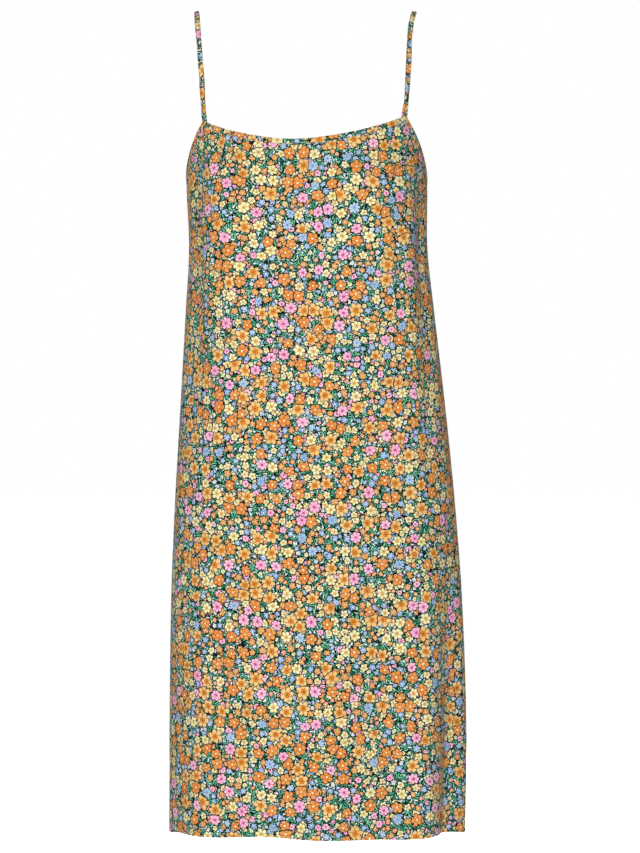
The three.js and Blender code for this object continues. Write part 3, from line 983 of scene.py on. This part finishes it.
OPEN_FLOWERS = Bed(
    "open flowers",
    16.4,
    0.62,
    71.3,
    (
        Blossom("jonquils", 0.20, 9.2, 6, 0.46, 0.9, 2.8, "#dba658 #e6c486 #a46624 #d17e2c #a0501a"),
        Blossom("orange blooms", 0.24, 7.3, 5, 0.46, 0.55, 1.5, "#d67c32 #dd9a56 #8a4014 #eac68e #efe4d2"),
        Blossom("pink asters", 0.10, 7.0, 7, 0.36, 0.6, 1.4, "#e696ba #f0c0d4 #a8507e #c25c88 #703050"),
        Blossom("pale stars", 0.15, 6.9, 6, 0.44, 0.7, 1.8, "#ded592 #e6deb2 #989654 #e0a666 #a0622a"),
        Blossom("cornflowers", 0.05, 6.2, 8, 0.52, 0.9, 1.2, "#84a5cc #b8d0e2 #4c7096 #8ea6cc #40569a"),
    ),
)
BEDS = (SEEDLINGS, SMALL_FLOWERS, OPEN_FLOWERS)
GROUND = "#0c0f14"


@dataclass(frozen=True)
class FlowerPrint:
    """The print: small garden flowers and leaves, packed close on a near-black ground."""

    outline: float = 1.12  # dark ground left clear round each flower
    wobble: float = 2.8  # how far the drawn lines stray, as by hand
    wobble_length: float = 3.0
    tuft_scatter: float = 0.85
    smallest: float = 0.82  # size of the smallest flower of a kind, against its usual size
    largest: float = 1.06

    def tuft_group(self) -> bpy.types.NodeTree:
        """Makes the node group that lays one layer of leaves over what is below.

        Returns:
            The group.
        """
        colours = ("Below", "Colour", "Other")
        floats = ("Spacing", "Length", "Width", "Pitch", "Blades", "Share", "Seed")
        tree, given, leave = group(
            "Tufts of leaves",
            {"Cloth": "Vector"} | dict.fromkeys(colours, "Color") | dict.fromkeys(floats, "Float"),
            {"Colour": "Color"},
        )
        moved = add(tree, "VectorMath", {0: given["Cloth"], 1: given["Seed"]}, operation="ADD").outputs[0]
        moved = add(tree, "VectorMath", {0: moved, 1: (1.0, 1.0, 0.0)}, operation="MULTIPLY").outputs[0]
        density = add(tree, "Math", {0: 1.0, 1: given["Spacing"]}, operation="DIVIDE").outputs[0]
        where = {"Vector": moved, "Scale": density, "Randomness": self.tuft_scatter}
        cell = add(tree, "TexVoronoi", where, voronoi_dimensions="2D")
        centre = cell.outputs["Position"]
        away = add(tree, "VectorMath", {0: moved, 1: centre}, operation="SUBTRACT").outputs[0]
        chance = add(tree, "SeparateColor", {0: cell.outputs["Color"]})
        angle = add(tree, "Math", {0: chance.outputs[0], 1: math.tau}, operation="MULTIPLY").outputs[0]
        turned = add(tree, "VectorRotate", {0: away, "Angle": angle}, rotation_type="Z_AXIS").outputs[0]
        place = add(tree, "SeparateXYZ", {0: turned})
        along = add(tree, "Math", {0: place.outputs[1], 1: given["Length"]}, operation="DIVIDE").outputs[0]
        spread = add(tree, "Math", {0: along, 1: 0.35, 2: 1.0}, operation="MULTIPLY_ADD").outputs[0]
        fanned = add(tree, "Math", {0: place.outputs[0], 1: spread}, operation="DIVIDE").outputs[0]
        step = add(tree, "Math", {0: fanned, 1: given["Pitch"]}, operation="DIVIDE").outputs[0]
        number = add(tree, "Math", {0: step}, operation="ROUND").outputs[0]
        beside = add(tree, "Math", {0: step, 1: number}, operation="SUBTRACT").outputs[0]
        aside = add(tree, "Math", {0: beside}, operation="ABSOLUTE").outputs[0]
        aside = add(tree, "Math", {0: aside, 1: given["Pitch"]}, operation="MULTIPLY").outputs[0]
        far = add(tree, "Math", {0: number}, operation="ABSOLUTE").outputs[0]
        inside = add(tree, "Math", {0: far, 1: given["Blades"]}, operation="LESS_THAN").outputs[0]
        lift = add(tree, "Math", {0: far, 1: 0.3, 2: along}, operation="MULTIPLY_ADD").outputs[0]
        square = add(tree, "Math", {0: lift, 1: lift}, operation="MULTIPLY").outputs[0]
        slim = add(tree, "Math", {0: 1.0, 1: square}, operation="SUBTRACT").outputs[0]
        half = add(tree, "Math", {0: slim, 1: given["Width"]}, operation="MULTIPLY").outputs[0]
        second, third = chance.outputs[1], chance.outputs[2]
        there = add(tree, "Math", {0: second, 1: given["Share"]}, operation="LESS_THAN").outputs[0]
        there = add(tree, "Math", {0: there, 1: inside}, operation="MULTIPLY").outputs[0]
        wide = add(tree, "Math", {0: half, 1: self.outline * 0.5 * MM}, operation="ADD").outputs[0]
        below = given["Below"]
        tint = add(tree, "Mix", {0: third, 6: given["Colour"], 7: given["Other"]}, data_type="RGBA")
        for limit, colour in ((wide, GROUND), (half, tint.outputs[2])):
            covers = add(tree, "Math", {0: aside, 1: limit}, operation="LESS_THAN").outputs[0]
            covers = add(tree, "Math", {0: covers, 1: there}, operation="MULTIPLY").outputs[0]
            below = add(tree, "Mix", {0: covers, 6: below, 7: colour}, data_type="RGBA").outputs[2]
        tree.links.new(below, leave.inputs[0])
        return tree

    def bed_group(self) -> bpy.types.NodeTree:
        """Makes the node group that finds the nearest place of a bed.

        Returns:
            The group. It gives the way from that place, three chances, and the room left to the next place.
        """
        tree, given, leave = group(
            "Flower bed",
            {"Cloth": "Vector", "Spacing": "Float", "Scatter": "Float", "Seed": "Float"},
            {"Away": "Vector", "Chance": "Color", "Room": "Float"},
        )
        moved = add(tree, "VectorMath", {0: given["Cloth"], 1: given["Seed"]}, operation="ADD").outputs[0]
        moved = add(tree, "VectorMath", {0: moved, 1: (1.0, 1.0, 0.0)}, operation="MULTIPLY").outputs[0]
        density = add(tree, "Math", {0: 1.0, 1: given["Spacing"]}, operation="DIVIDE").outputs[0]
        where = {"Vector": moved, "Scale": density, "Randomness": given["Scatter"]}
        cell = add(tree, "TexVoronoi", where, voronoi_dimensions="2D")
        border = add(tree, "TexVoronoi", where, voronoi_dimensions="2D", feature="DISTANCE_TO_EDGE")
        centre, reach = cell.outputs["Position"], border.outputs["Distance"]
        away = add(tree, "VectorMath", {0: moved, 1: centre}, operation="SUBTRACT").outputs[0]
        chance = add(tree, "SeparateColor", {0: cell.outputs["Color"]})
        angle = add(tree, "Math", {0: chance.outputs[1], 1: 5 * math.tau}, operation="MULTIPLY").outputs[0]
        away = add(tree, "VectorRotate", {0: away, "Angle": angle}, rotation_type="Z_AXIS").outputs[0]
        tilt = add(tree, "MapRange", {0: chance.outputs[0], 3: 1.0, 4: 1.22}).outputs[0]
        tilt = add(tree, "CombineXYZ", {0: 1.0, 1: tilt}).outputs[0]
        away = add(tree, "VectorMath", {0: away, 1: tilt}, operation="MULTIPLY").outputs[0]
        room = add(tree, "Math", {0: reach, 1: given["Spacing"]}, operation="MULTIPLY").outputs[0]
        for number, socket in enumerate((away, cell.outputs["Color"], room)):
            tree.links.new(socket, leave.inputs[number])
        return tree

    def blossom_group(self) -> bpy.types.NodeTree:
        """Makes the node group that lays one kind of flower over what is below.

        Returns:
            The group.
        """
        colours = ("Chance", "Below", "Petal", "Other", "Vein", "Heart", "Eye")
        floats = ("Room", "Start", "End", "Radius", "Petals", "Notch", "Sharp", "Heart size")
        tree, given, leave = group(
            "Flowers",
            {"Away": "Vector"} | dict.fromkeys(colours, "Color") | dict.fromkeys(floats, "Float"),
            {"Colour": "Color"},
        )
        chances = add(tree, "SeparateColor", {0: given["Chance"]}).outputs
        place = add(tree, "SeparateXYZ", {0: given["Away"]}).outputs
        distance = add(tree, "VectorMath", {0: given["Away"]}, operation="LENGTH").outputs["Value"]
        angle = add(tree, "Math", {0: place[1], 1: place[0]}, operation="ARCTAN2").outputs[0]
        turn = add(tree, "Math", {0: chances[0], 1: math.tau, 2: angle}, operation="MULTIPLY_ADD").outputs[0]
        halves = add(tree, "Math", {0: given["Petals"], 1: 0.5}, operation="MULTIPLY").outputs[0]
        wave = add(tree, "Math", {0: turn, 1: halves}, operation="MULTIPLY").outputs[0]
        wave = add(tree, "Math", {0: wave}, operation="COSINE").outputs[0]
        wave = add(tree, "Math", {0: wave}, operation="ABSOLUTE").outputs[0]
        lobe = add(tree, "Math", {0: wave, 1: given["Sharp"]}, operation="POWER").outputs[0]
        dent = add(tree, "Math", {0: 1.0, 1: lobe}, operation="SUBTRACT").outputs[0]
        depth = add(tree, "Math", {0: dent, 1: given["Notch"]}, operation="MULTIPLY").outputs[0]
        shape = add(tree, "Math", {0: 1.0, 1: depth}, operation="SUBTRACT").outputs[0]
        size = add(tree, "MapRange", {0: chances[1], 3: self.smallest, 4: self.largest}).outputs[0]
        radius = add(tree, "Math", {0: size, 1: given["Radius"]}, operation="MULTIPLY").outputs[0]
        reach = add(tree, "Math", {0: shape, 1: radius}, operation="MULTIPLY").outputs[0]
        after = add(tree, "Math", {0: chances[2], 1: given["Start"]}, operation="GREATER_THAN").outputs[0]
        before = add(tree, "Math", {0: chances[2], 1: given["End"]}, operation="LESS_THAN").outputs[0]
        grows = add(tree, "Math", {0: after, 1: before}, operation="MULTIPLY").outputs[0]
        gap = self.outline * 0.5 * MM
        clear = add(tree, "Math", {0: given["Room"], 1: gap}, operation="GREATER_THAN").outputs[0]
        kept = add(tree, "Math", {0: grows, 1: clear}, operation="MULTIPLY").outputs[0]
        mixed = add(tree, "Math", {0: chances[1], 1: 7.31}, operation="MULTIPLY").outputs[0]
        mixed = add(tree, "Math", {0: mixed}, operation="FRACT").outputs[0]
        share = add(tree, "Math", {0: distance, 1: reach}, operation="DIVIDE").outputs[0]
        outer = add(tree, "Math", {0: share, 1: 0.6, 2: -0.1}, operation="MULTIPLY_ADD").outputs[0]
        pale = add(tree, "Math", {0: mixed, 1: 0.5, 2: outer}, operation="MULTIPLY_ADD", use_clamp=True)
        petal = {0: pale.outputs[0], 6: given["Petal"], 7: given["Other"]}
        tint = add(tree, "Mix", petal, data_type="RGBA").outputs[2]
        fine = add(tree, "MapRange", {0: wave, 1: 0.5, 2: 0.1, 3: 0.0, 4: 1.0}).outputs[0]
        near = add(tree, "MapRange", {0: share, 1: 1.0, 2: 0.3, 3: 0.55, 4: 1.0}).outputs[0]
        lines = add(tree, "Math", {0: fine, 1: near}, operation="MULTIPLY", use_clamp=True).outputs[0]
        tint = add(tree, "Mix", {0: lines, 6: tint, 7: given["Vein"]}, data_type="RGBA").outputs[2]
        for part, colour in ((1.25, "Vein"), (1.0, "Heart"), (0.46, "Eye")):  # rim, heart and eye
            limit = add(tree, "Math", {0: given["Heart size"], 1: part}, operation="MULTIPLY").outputs[0]
            covers = add(tree, "Math", {0: distance, 1: limit}, operation="LESS_THAN").outputs[0]
            tint = add(tree, "Mix", {0: covers, 6: tint, 7: given[colour]}, data_type="RGBA").outputs[2]
        wide = add(tree, "Math", {0: reach, 1: self.outline * MM}, operation="ADD").outputs[0]
        below = given["Below"]
        for limit, where, colour in ((wide, grows, GROUND), (reach, kept, tint)):
            covers = add(tree, "Math", {0: distance, 1: limit}, operation="LESS_THAN").outputs[0]
            covers = add(tree, "Math", {0: covers, 1: where}, operation="MULTIPLY").outputs[0]
            below = add(tree, "Mix", {0: covers, 6: below, 7: colour}, data_type="RGBA").outputs[2]
        tree.links.new(below, leave.inputs[0])
        return tree

    def build(self) -> bpy.types.NodeTree:
        """Makes the whole print as one node group, from its place on the cloth to its colour.

        Returns:
            The group.
        """
        tree, given, leave = group("Small flower print", {"Cloth": "Vector"}, {"Colour": "Color"})
        tufts, beds, flowers = self.tuft_group(), self.bed_group(), self.blossom_group()
        noise = {"Vector": given["Cloth"], "Scale": 1 / (self.wobble_length * MM), "Detail": 1.0}
        stray = add(tree, "TexNoise", noise).outputs["Color"]
        stray = add(tree, "VectorMath", {0: stray, 1: (0.5, 0.5, 0.5)}, operation="SUBTRACT").outputs[0]
        stray = add(tree, "VectorMath", {0: stray, "Scale": self.wobble * MM}, operation="SCALE").outputs[0]
        hand = add(tree, "VectorMath", {0: given["Cloth"], 1: stray}, operation="ADD").outputs[0]
        below = GROUND
        for tuft in TUFTS:
            inputs = {"Cloth": hand, "Below": below, "Colour": tuft.colour, "Other": tuft.other}
            inputs |= {"Blades": tuft.blades, "Share": tuft.share, "Seed": tuft.seed}
            words = ("spacing", "length", "width", "pitch")
            inputs |= {word.title(): getattr(tuft, word) * MM for word in words}
            below = add(tree, "Group", inputs, node_tree=tufts, label=tuft.name).outputs[0]
        for bed in BEDS:
            inputs = {"Cloth": hand, "Spacing": bed.spacing * MM, "Scatter": bed.scatter, "Seed": bed.seed}
            place = add(tree, "Group", inputs, node_tree=beds, label=bed.name)
            start = 0.0
            for bloom in bed.blossoms:
                inputs = {"Below": below, "Start": start, "End": start + bloom.share}
                inputs |= {word: place.outputs[word] for word in ("Away", "Chance", "Room")}
                inputs |= {word.title(): getattr(bloom, word) for word in ("petals", "notch", "sharp")}
                inputs |= dict(zip(("Petal", "Other", "Vein", "Heart", "Eye"), bloom.inks.split()))
                inputs |= {"Radius": bloom.radius * MM, "Heart size": bloom.heart * MM}
                below = add(tree, "Group", inputs, node_tree=flowers, label=bloom.name).outputs[0]
                start += bloom.share
        tree.links.new(below, leave.inputs[0])
        return tree


@dataclass(frozen=True)
class PrintedViscose:
    """Printed viscose crepe: a soft, matte cloth whose fine pebbled weave only just catches the light."""

    name: str
    turned: float = 0.0  # degrees that the print is turned by, as on a bias strip
    reverse: bool = False
    roughness: float = 0.82
    sheen: float = 0.04  # the crepe is nearly without a bloom, so its turned sides stay deep in colour
    specular: float = 0.14  # lower than the usual 0.5, as the crepe's loose fibres scatter the light
    pebble: float = 1.1  # crepe grain, drawn coarser than its real 0.4 mm so that it shows
    thread: float = 0.9  # thread spacing, drawn coarser than its real 0.25 mm so that it shows
    dye_patch: float = 26.0  # size of the slightly deeper and paler patches in the dye
    grain_height: float = 0.12
    grain_strength: float = 0.28
    show_through: float = 0.58  # how much of the undyed yarn shows on the wrong side

    def build(self, print_group: bpy.types.NodeTree) -> bpy.types.Material:
        """Makes the material.

        Args:
            print_group: The node group of the print.

        Returns:
            The material.
        """
        material = bpy.data.materials.new(self.name)
        material.use_nodes = True
        tree = material.node_tree
        shader = tree.nodes["Principled BSDF"]
        place = add(tree, "UVMap", uv_map=CLOTH_MAP).outputs[0]
        turned = add(tree, "Mapping", {0: place, "Rotation": (0, 0, math.radians(self.turned))}).outputs[0]
        colour = add(tree, "Group", {0: turned}, node_tree=print_group).outputs[0]
        if self.reverse:  # the wrong side shows the print faintly, through the cloth
            yarn = {0: self.show_through, 6: colour, 7: "#b9b3a6"}
            colour = add(tree, "Mix", yarn, data_type="RGBA").outputs[2]
        patches = {"Vector": place, "Scale": 1 / (self.dye_patch * MM), "Detail": 3.0}
        dye = add(tree, "TexNoise", patches).outputs[0]
        level = add(tree, "MapRange", {0: dye, 1: 0.3, 2: 0.7, 3: 0.95, 4: 1.04}).outputs[0]
        colour = add(tree, "HueSaturation", {"Color": colour, "Value": level}).outputs[0]
        tree.links.new(colour, shader.inputs["Base Color"])
        shader.inputs["Roughness"].default_value = self.roughness
        shader.inputs["Specular IOR Level"].default_value = self.specular
        shader.inputs["Sheen Weight"].default_value = self.sheen
        shader.inputs["Sheen Roughness"].default_value = 0.45
        pebbles = {"Vector": place, "Scale": 1 / (self.pebble * MM), "Detail": 2.0}
        grain = add(tree, "TexNoise", pebbles).outputs[0]
        spacing = WAVE_SPACING / (self.thread * MM)
        threads = {"Vector": place, "Scale": spacing, "Distortion": 0.6, "Detail": 1.0}
        across = add(tree, "TexWave", threads, bands_direction="X").outputs["Fac"]
        up = add(tree, "TexWave", threads, bands_direction="Y").outputs["Fac"]
        weave = add(tree, "Math", {0: across, 1: up}, operation="MULTIPLY").outputs[0]
        height = add(tree, "Math", {0: grain, 1: 0.6, 2: weave}, operation="MULTIPLY_ADD").outputs[0]
        relief = {"Height": height, "Strength": self.grain_strength, "Distance": self.grain_height * MM}
        bump = add(tree, "Bump", relief).outputs[0]
        tree.links.new(bump, shader.inputs["Normal"])
        return material


@dataclass(frozen=True)
class SewingThread:
    """Spun polyester sewing thread: a fine two-ply twist with a low, dry sheen, partly painted on as a lighter
    colour along the crests of the twist.
    """

    name: str = "Dark spun thread"
    colour: str = "#2a2c33"
    # colour painted on the crests of the twist: a painted highlight along the plies
    light: str = "#4a4c55"
    ply: float = 0.5

    def build(self) -> bpy.types.Material:
        """Makes the material.

        Returns:
            The material.
        """
        material = bpy.data.materials.new(self.name)
        material.use_nodes = True
        tree = material.node_tree
        shader = tree.nodes["Principled BSDF"]
        place = add(tree, "TexCoord").outputs["Object"]
        strands = {"Vector": place, "Scale": WAVE_SPACING / (self.ply * MM), "Distortion": 0.8}
        twist = add(tree, "TexWave", strands, bands_direction="DIAGONAL").outputs["Fac"]
        # Painted highlight: the thread is painted lighter where its twist stands highest, and darker in the
        # grooves between the plies.
        colour = add(tree, "Mix", {0: twist, 6: self.colour, 7: self.light}, data_type="RGBA").outputs[2]
        tree.links.new(colour, shader.inputs["Base Color"])
        shader.inputs["Roughness"].default_value = 0.6
        bump = add(tree, "Bump", {"Height": twist, "Strength": 0.4, "Distance": 0.05 * MM}).outputs[0]
        tree.links.new(bump, shader.inputs["Normal"])
        return material


@dataclass
class Studio:
    """The plain pale studio round the dress, with its camera and lights."""

    camera_back: float = 3.0
    camera_side: float = 0.018
    camera_up: float = -0.498
    pixel: float = 1.2 * MM  # on the plane of the shoulders
    frame_high: int = 853
    sensor: float = 36.0
    floor: float = -1.36
    paper_glow: float = 0.8
    fill: float = 0.22  # light from all round, where the front light gives about 0.65
    softbox: float = 1.6
    front_power: float = 111.0
    back_power: float = 84.0

    def camera(self) -> None:
        """Sets the camera where the photograph was taken from, level with the middle of the dress."""
        data = bpy.data.cameras.new("Camera")
        data.sensor_width = self.sensor
        data.lens = self.camera_back * self.sensor / (self.frame_high * self.pixel)
        data.clip_end = 60
        camera = bpy.data.objects.new("Camera", data)
        camera.location = (self.camera_side, -self.camera_back, self.camera_up)
        camera.rotation_euler = (math.radians(90), 0, 0)
        bpy.context.collection.objects.link(camera)
        bpy.context.scene.camera = camera

    def paper(self) -> None:
        """Lays the pale paper floor, lit so evenly that it runs into the white round it."""
        bpy.ops.object.select_all(action="DESELECT")
        bpy.ops.mesh.primitive_circle_add(vertices=96, radius=30.0, fill_type="NGON", location=(0, 0, 0))
        floor = bpy.context.active_object
        floor.name = "Studio_paper"
        floor.data.transform(Matrix.Translation((0, 0, self.floor)))
        material = bpy.data.materials.new("White paper floor")
        material.use_nodes = True
        tree = material.node_tree
        shader = tree.nodes["Principled BSDF"]
        place = add(tree, "TexCoord").outputs["Object"]
        cloudy = add(tree, "TexNoise", {"Vector": place, "Scale": 0.8}).outputs[0]
        paper = add(tree, "Mix", {0: cloudy, 6: "#f6f6f5", 7: "#fbfbfa"}, data_type="RGBA").outputs[2]
        tree.links.new(paper, shader.inputs["Base Color"])
        shader.inputs["Roughness"].default_value = 0.95
        seen = add(tree, "LightPath").outputs["Is Camera Ray"]
        glow = add(tree, "Math", {0: seen, 1: self.paper_glow}, operation="MULTIPLY").outputs[0]
        shader.inputs["Emission Color"].default_value = linear("#ffffff")
        tree.links.new(glow, shader.inputs["Emission Strength"])
        floor.data.materials.append(material)

    def surround(self) -> None:
        """Puts even light all round, in front of which the dress stands on white."""
        world = bpy.data.worlds.new("Even studio light")
        world.use_nodes = True
        tree = world.node_tree
        back = tree.nodes["Background"]
        back.inputs["Color"].default_value = linear("#ffffff")
        seen = add(tree, "LightPath").outputs["Is Camera Ray"]
        level = add(tree, "MapRange", {0: seen, 3: self.fill, 4: 1.0}).outputs[0]
        tree.links.new(level, back.inputs["Strength"])
        bpy.context.scene.world = world

    def light(
        self,
        name: str,
        place: tuple[float, float, float],
        size: float,
        power: float,
        aim: tuple[float, float, float],
    ) -> None:
        """Hangs a soft square light.

        Args:
            name: Name of the light.
            place: Where it hangs, in metres.
            size: Length of its side, in metres.
            power: Its power, in watts.
            aim: The point that it faces, in metres.
        """
        data = bpy.data.lights.new(name, "AREA")
        data.size = size
        data.energy = power
        lamp = bpy.data.objects.new(name, data)
        lamp.location = place
        lamp.rotation_euler = (Vector(aim) - Vector(place)).to_track_quat("-Z", "Y").to_euler()
        bpy.context.collection.objects.link(lamp)

    def build(self) -> None:
        """Sets up the camera, the floor, a soft light before and behind the dress, and light all round."""
        self.camera()
        self.paper()
        aim = (0.0, 0.0, -0.55)
        self.light("Front softbox", (-0.38, -3.5, 0.2), self.softbox, self.front_power, aim)
        self.light("Back softbox", (0.3, 3.5, 0.3), self.softbox, self.back_power, aim)
        self.surround()
        bpy.context.scene.view_settings.view_transform = "Standard"


def cut_from(obj: bpy.types.Object, place: tuple[float, float]) -> bpy.types.Object:
    """Moves a piece's cut to its own place on the printed cloth, so that no two show the same flowers.

    Args:
        obj: The piece.
        place: How far its cut moves to the right and up, in metres.

    Returns:
        The piece.
    """
    layer = obj.data.uv_layers[CLOTH_MAP]
    at = np.empty(2 * len(layer.uv), np.float32)
    layer.uv.foreach_get("vector", at)
    layer.uv.foreach_set("vector", (at.reshape(-1, 2) + np.array(place, np.float32)).ravel())
    return obj


def dress_piece(
    obj: bpy.types.Object, slot: str, materials: Sequence[bpy.types.Material], *nodes: str
) -> None:
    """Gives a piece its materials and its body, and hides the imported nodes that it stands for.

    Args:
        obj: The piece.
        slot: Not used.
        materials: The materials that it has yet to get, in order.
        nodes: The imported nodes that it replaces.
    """
    for material in materials:
        obj.data.materials.append(material)
    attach(obj, "root")
    if nodes:
        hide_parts(*nodes)
    LOG.info("%s: %d faces", obj.name, len(obj.data.polygons))


def main() -> None:
    """Builds the studio and the dress."""
    Studio().build()
    print_group = FlowerPrint().build()
    cloth = PrintedViscose("Printed viscose crepe").build(print_group)
    inside = PrintedViscose("Printed viscose crepe, wrong side", reverse=True, sheen=0.02)
    wrong_side = inside.build(print_group)
    bias = PrintedViscose("Printed viscose, cut on the bias", turned=45.0).build(print_group)
    thread = SewingThread().build()

    front = Panel(
        Half.FRONT,
        FRONT_FOLDS,
        FRONT_CREASES,
        FRONT_HEM_WAVES,
        neck_low=-15,
        neck_drop=165.6,
        neck_curve=1.75,
        corners={"left": (-118.9, 140.3), "right": (118.2, 133.8)},
        bust_high=11,
    )
    back = Panel(
        Half.BACK,
        BACK_FOLDS,
        BACK_CREASES,
        BACK_HEM_WAVES,
        neck_low=0,
        neck_drop=181,
        neck_curve=2.4,
        corners={"left": (-117, 168), "right": (117, 167)},
    )
    panels: dict[str, bpy.types.Object] = {}
    trims: dict[str, list[bpy.types.Object]] = {"front": [], "back": []}
    for panel, column in ((front, 0.0), (back, 0.62)):
        name, trim = panel.name, trims[panel.name]
        panels[name] = cut_from(panel.build(cloth, wrong_side), (column, 0.0))
        dress_piece(panels[name], "print_cloth", (), f"{name}_panel")
        left, right = panel.corner_shares["left"], panel.corner_shares["right"]
        bindings = (
            Binding(f"{name}_neck_binding", panel, left, right, 150),
            Binding(f"{name}_armhole_binding_left", panel, -1, left, 60, wall=ARMHOLE_WALL),
            Binding(f"{name}_armhole_binding_right", panel, right, 1, 60, wall=ARMHOLE_WALL),
        )
        for number, binding in enumerate(bindings):
            strip = cut_from(binding.build(), (column, 0.31 + 0.07 * number))
            dress_piece(strip, "print_binding", (bias,), binding.name)
            trim.append(strip)
        edge_lines = [binding.stitch_line() for binding in bindings]
        edge_row = Stitching(f"{name}_edge_stitching", pitch=2.6).build(edge_lines)
        hem_row = Stitching(f"{name}_hem_stitching", pitch=3.2).build([panel.hem_stitch_line()])
        dress_piece(edge_row, "print_binding", (thread,))
        dress_piece(hem_row, "print_cloth", (thread,))
        trim += [edge_row, hem_row]
    straps: list[bpy.types.Object] = []
    for number, side in enumerate(STRAP_PATHS):
        strap = cut_from(Strap(side, front, back).build(), (1.24, 0.07 * number))
        dress_piece(strap, "print_strap", (bias,), f"strap_{side}")
        straps.append(strap)

    trims["front"] += straps


if __name__ == "__main__":
    main()
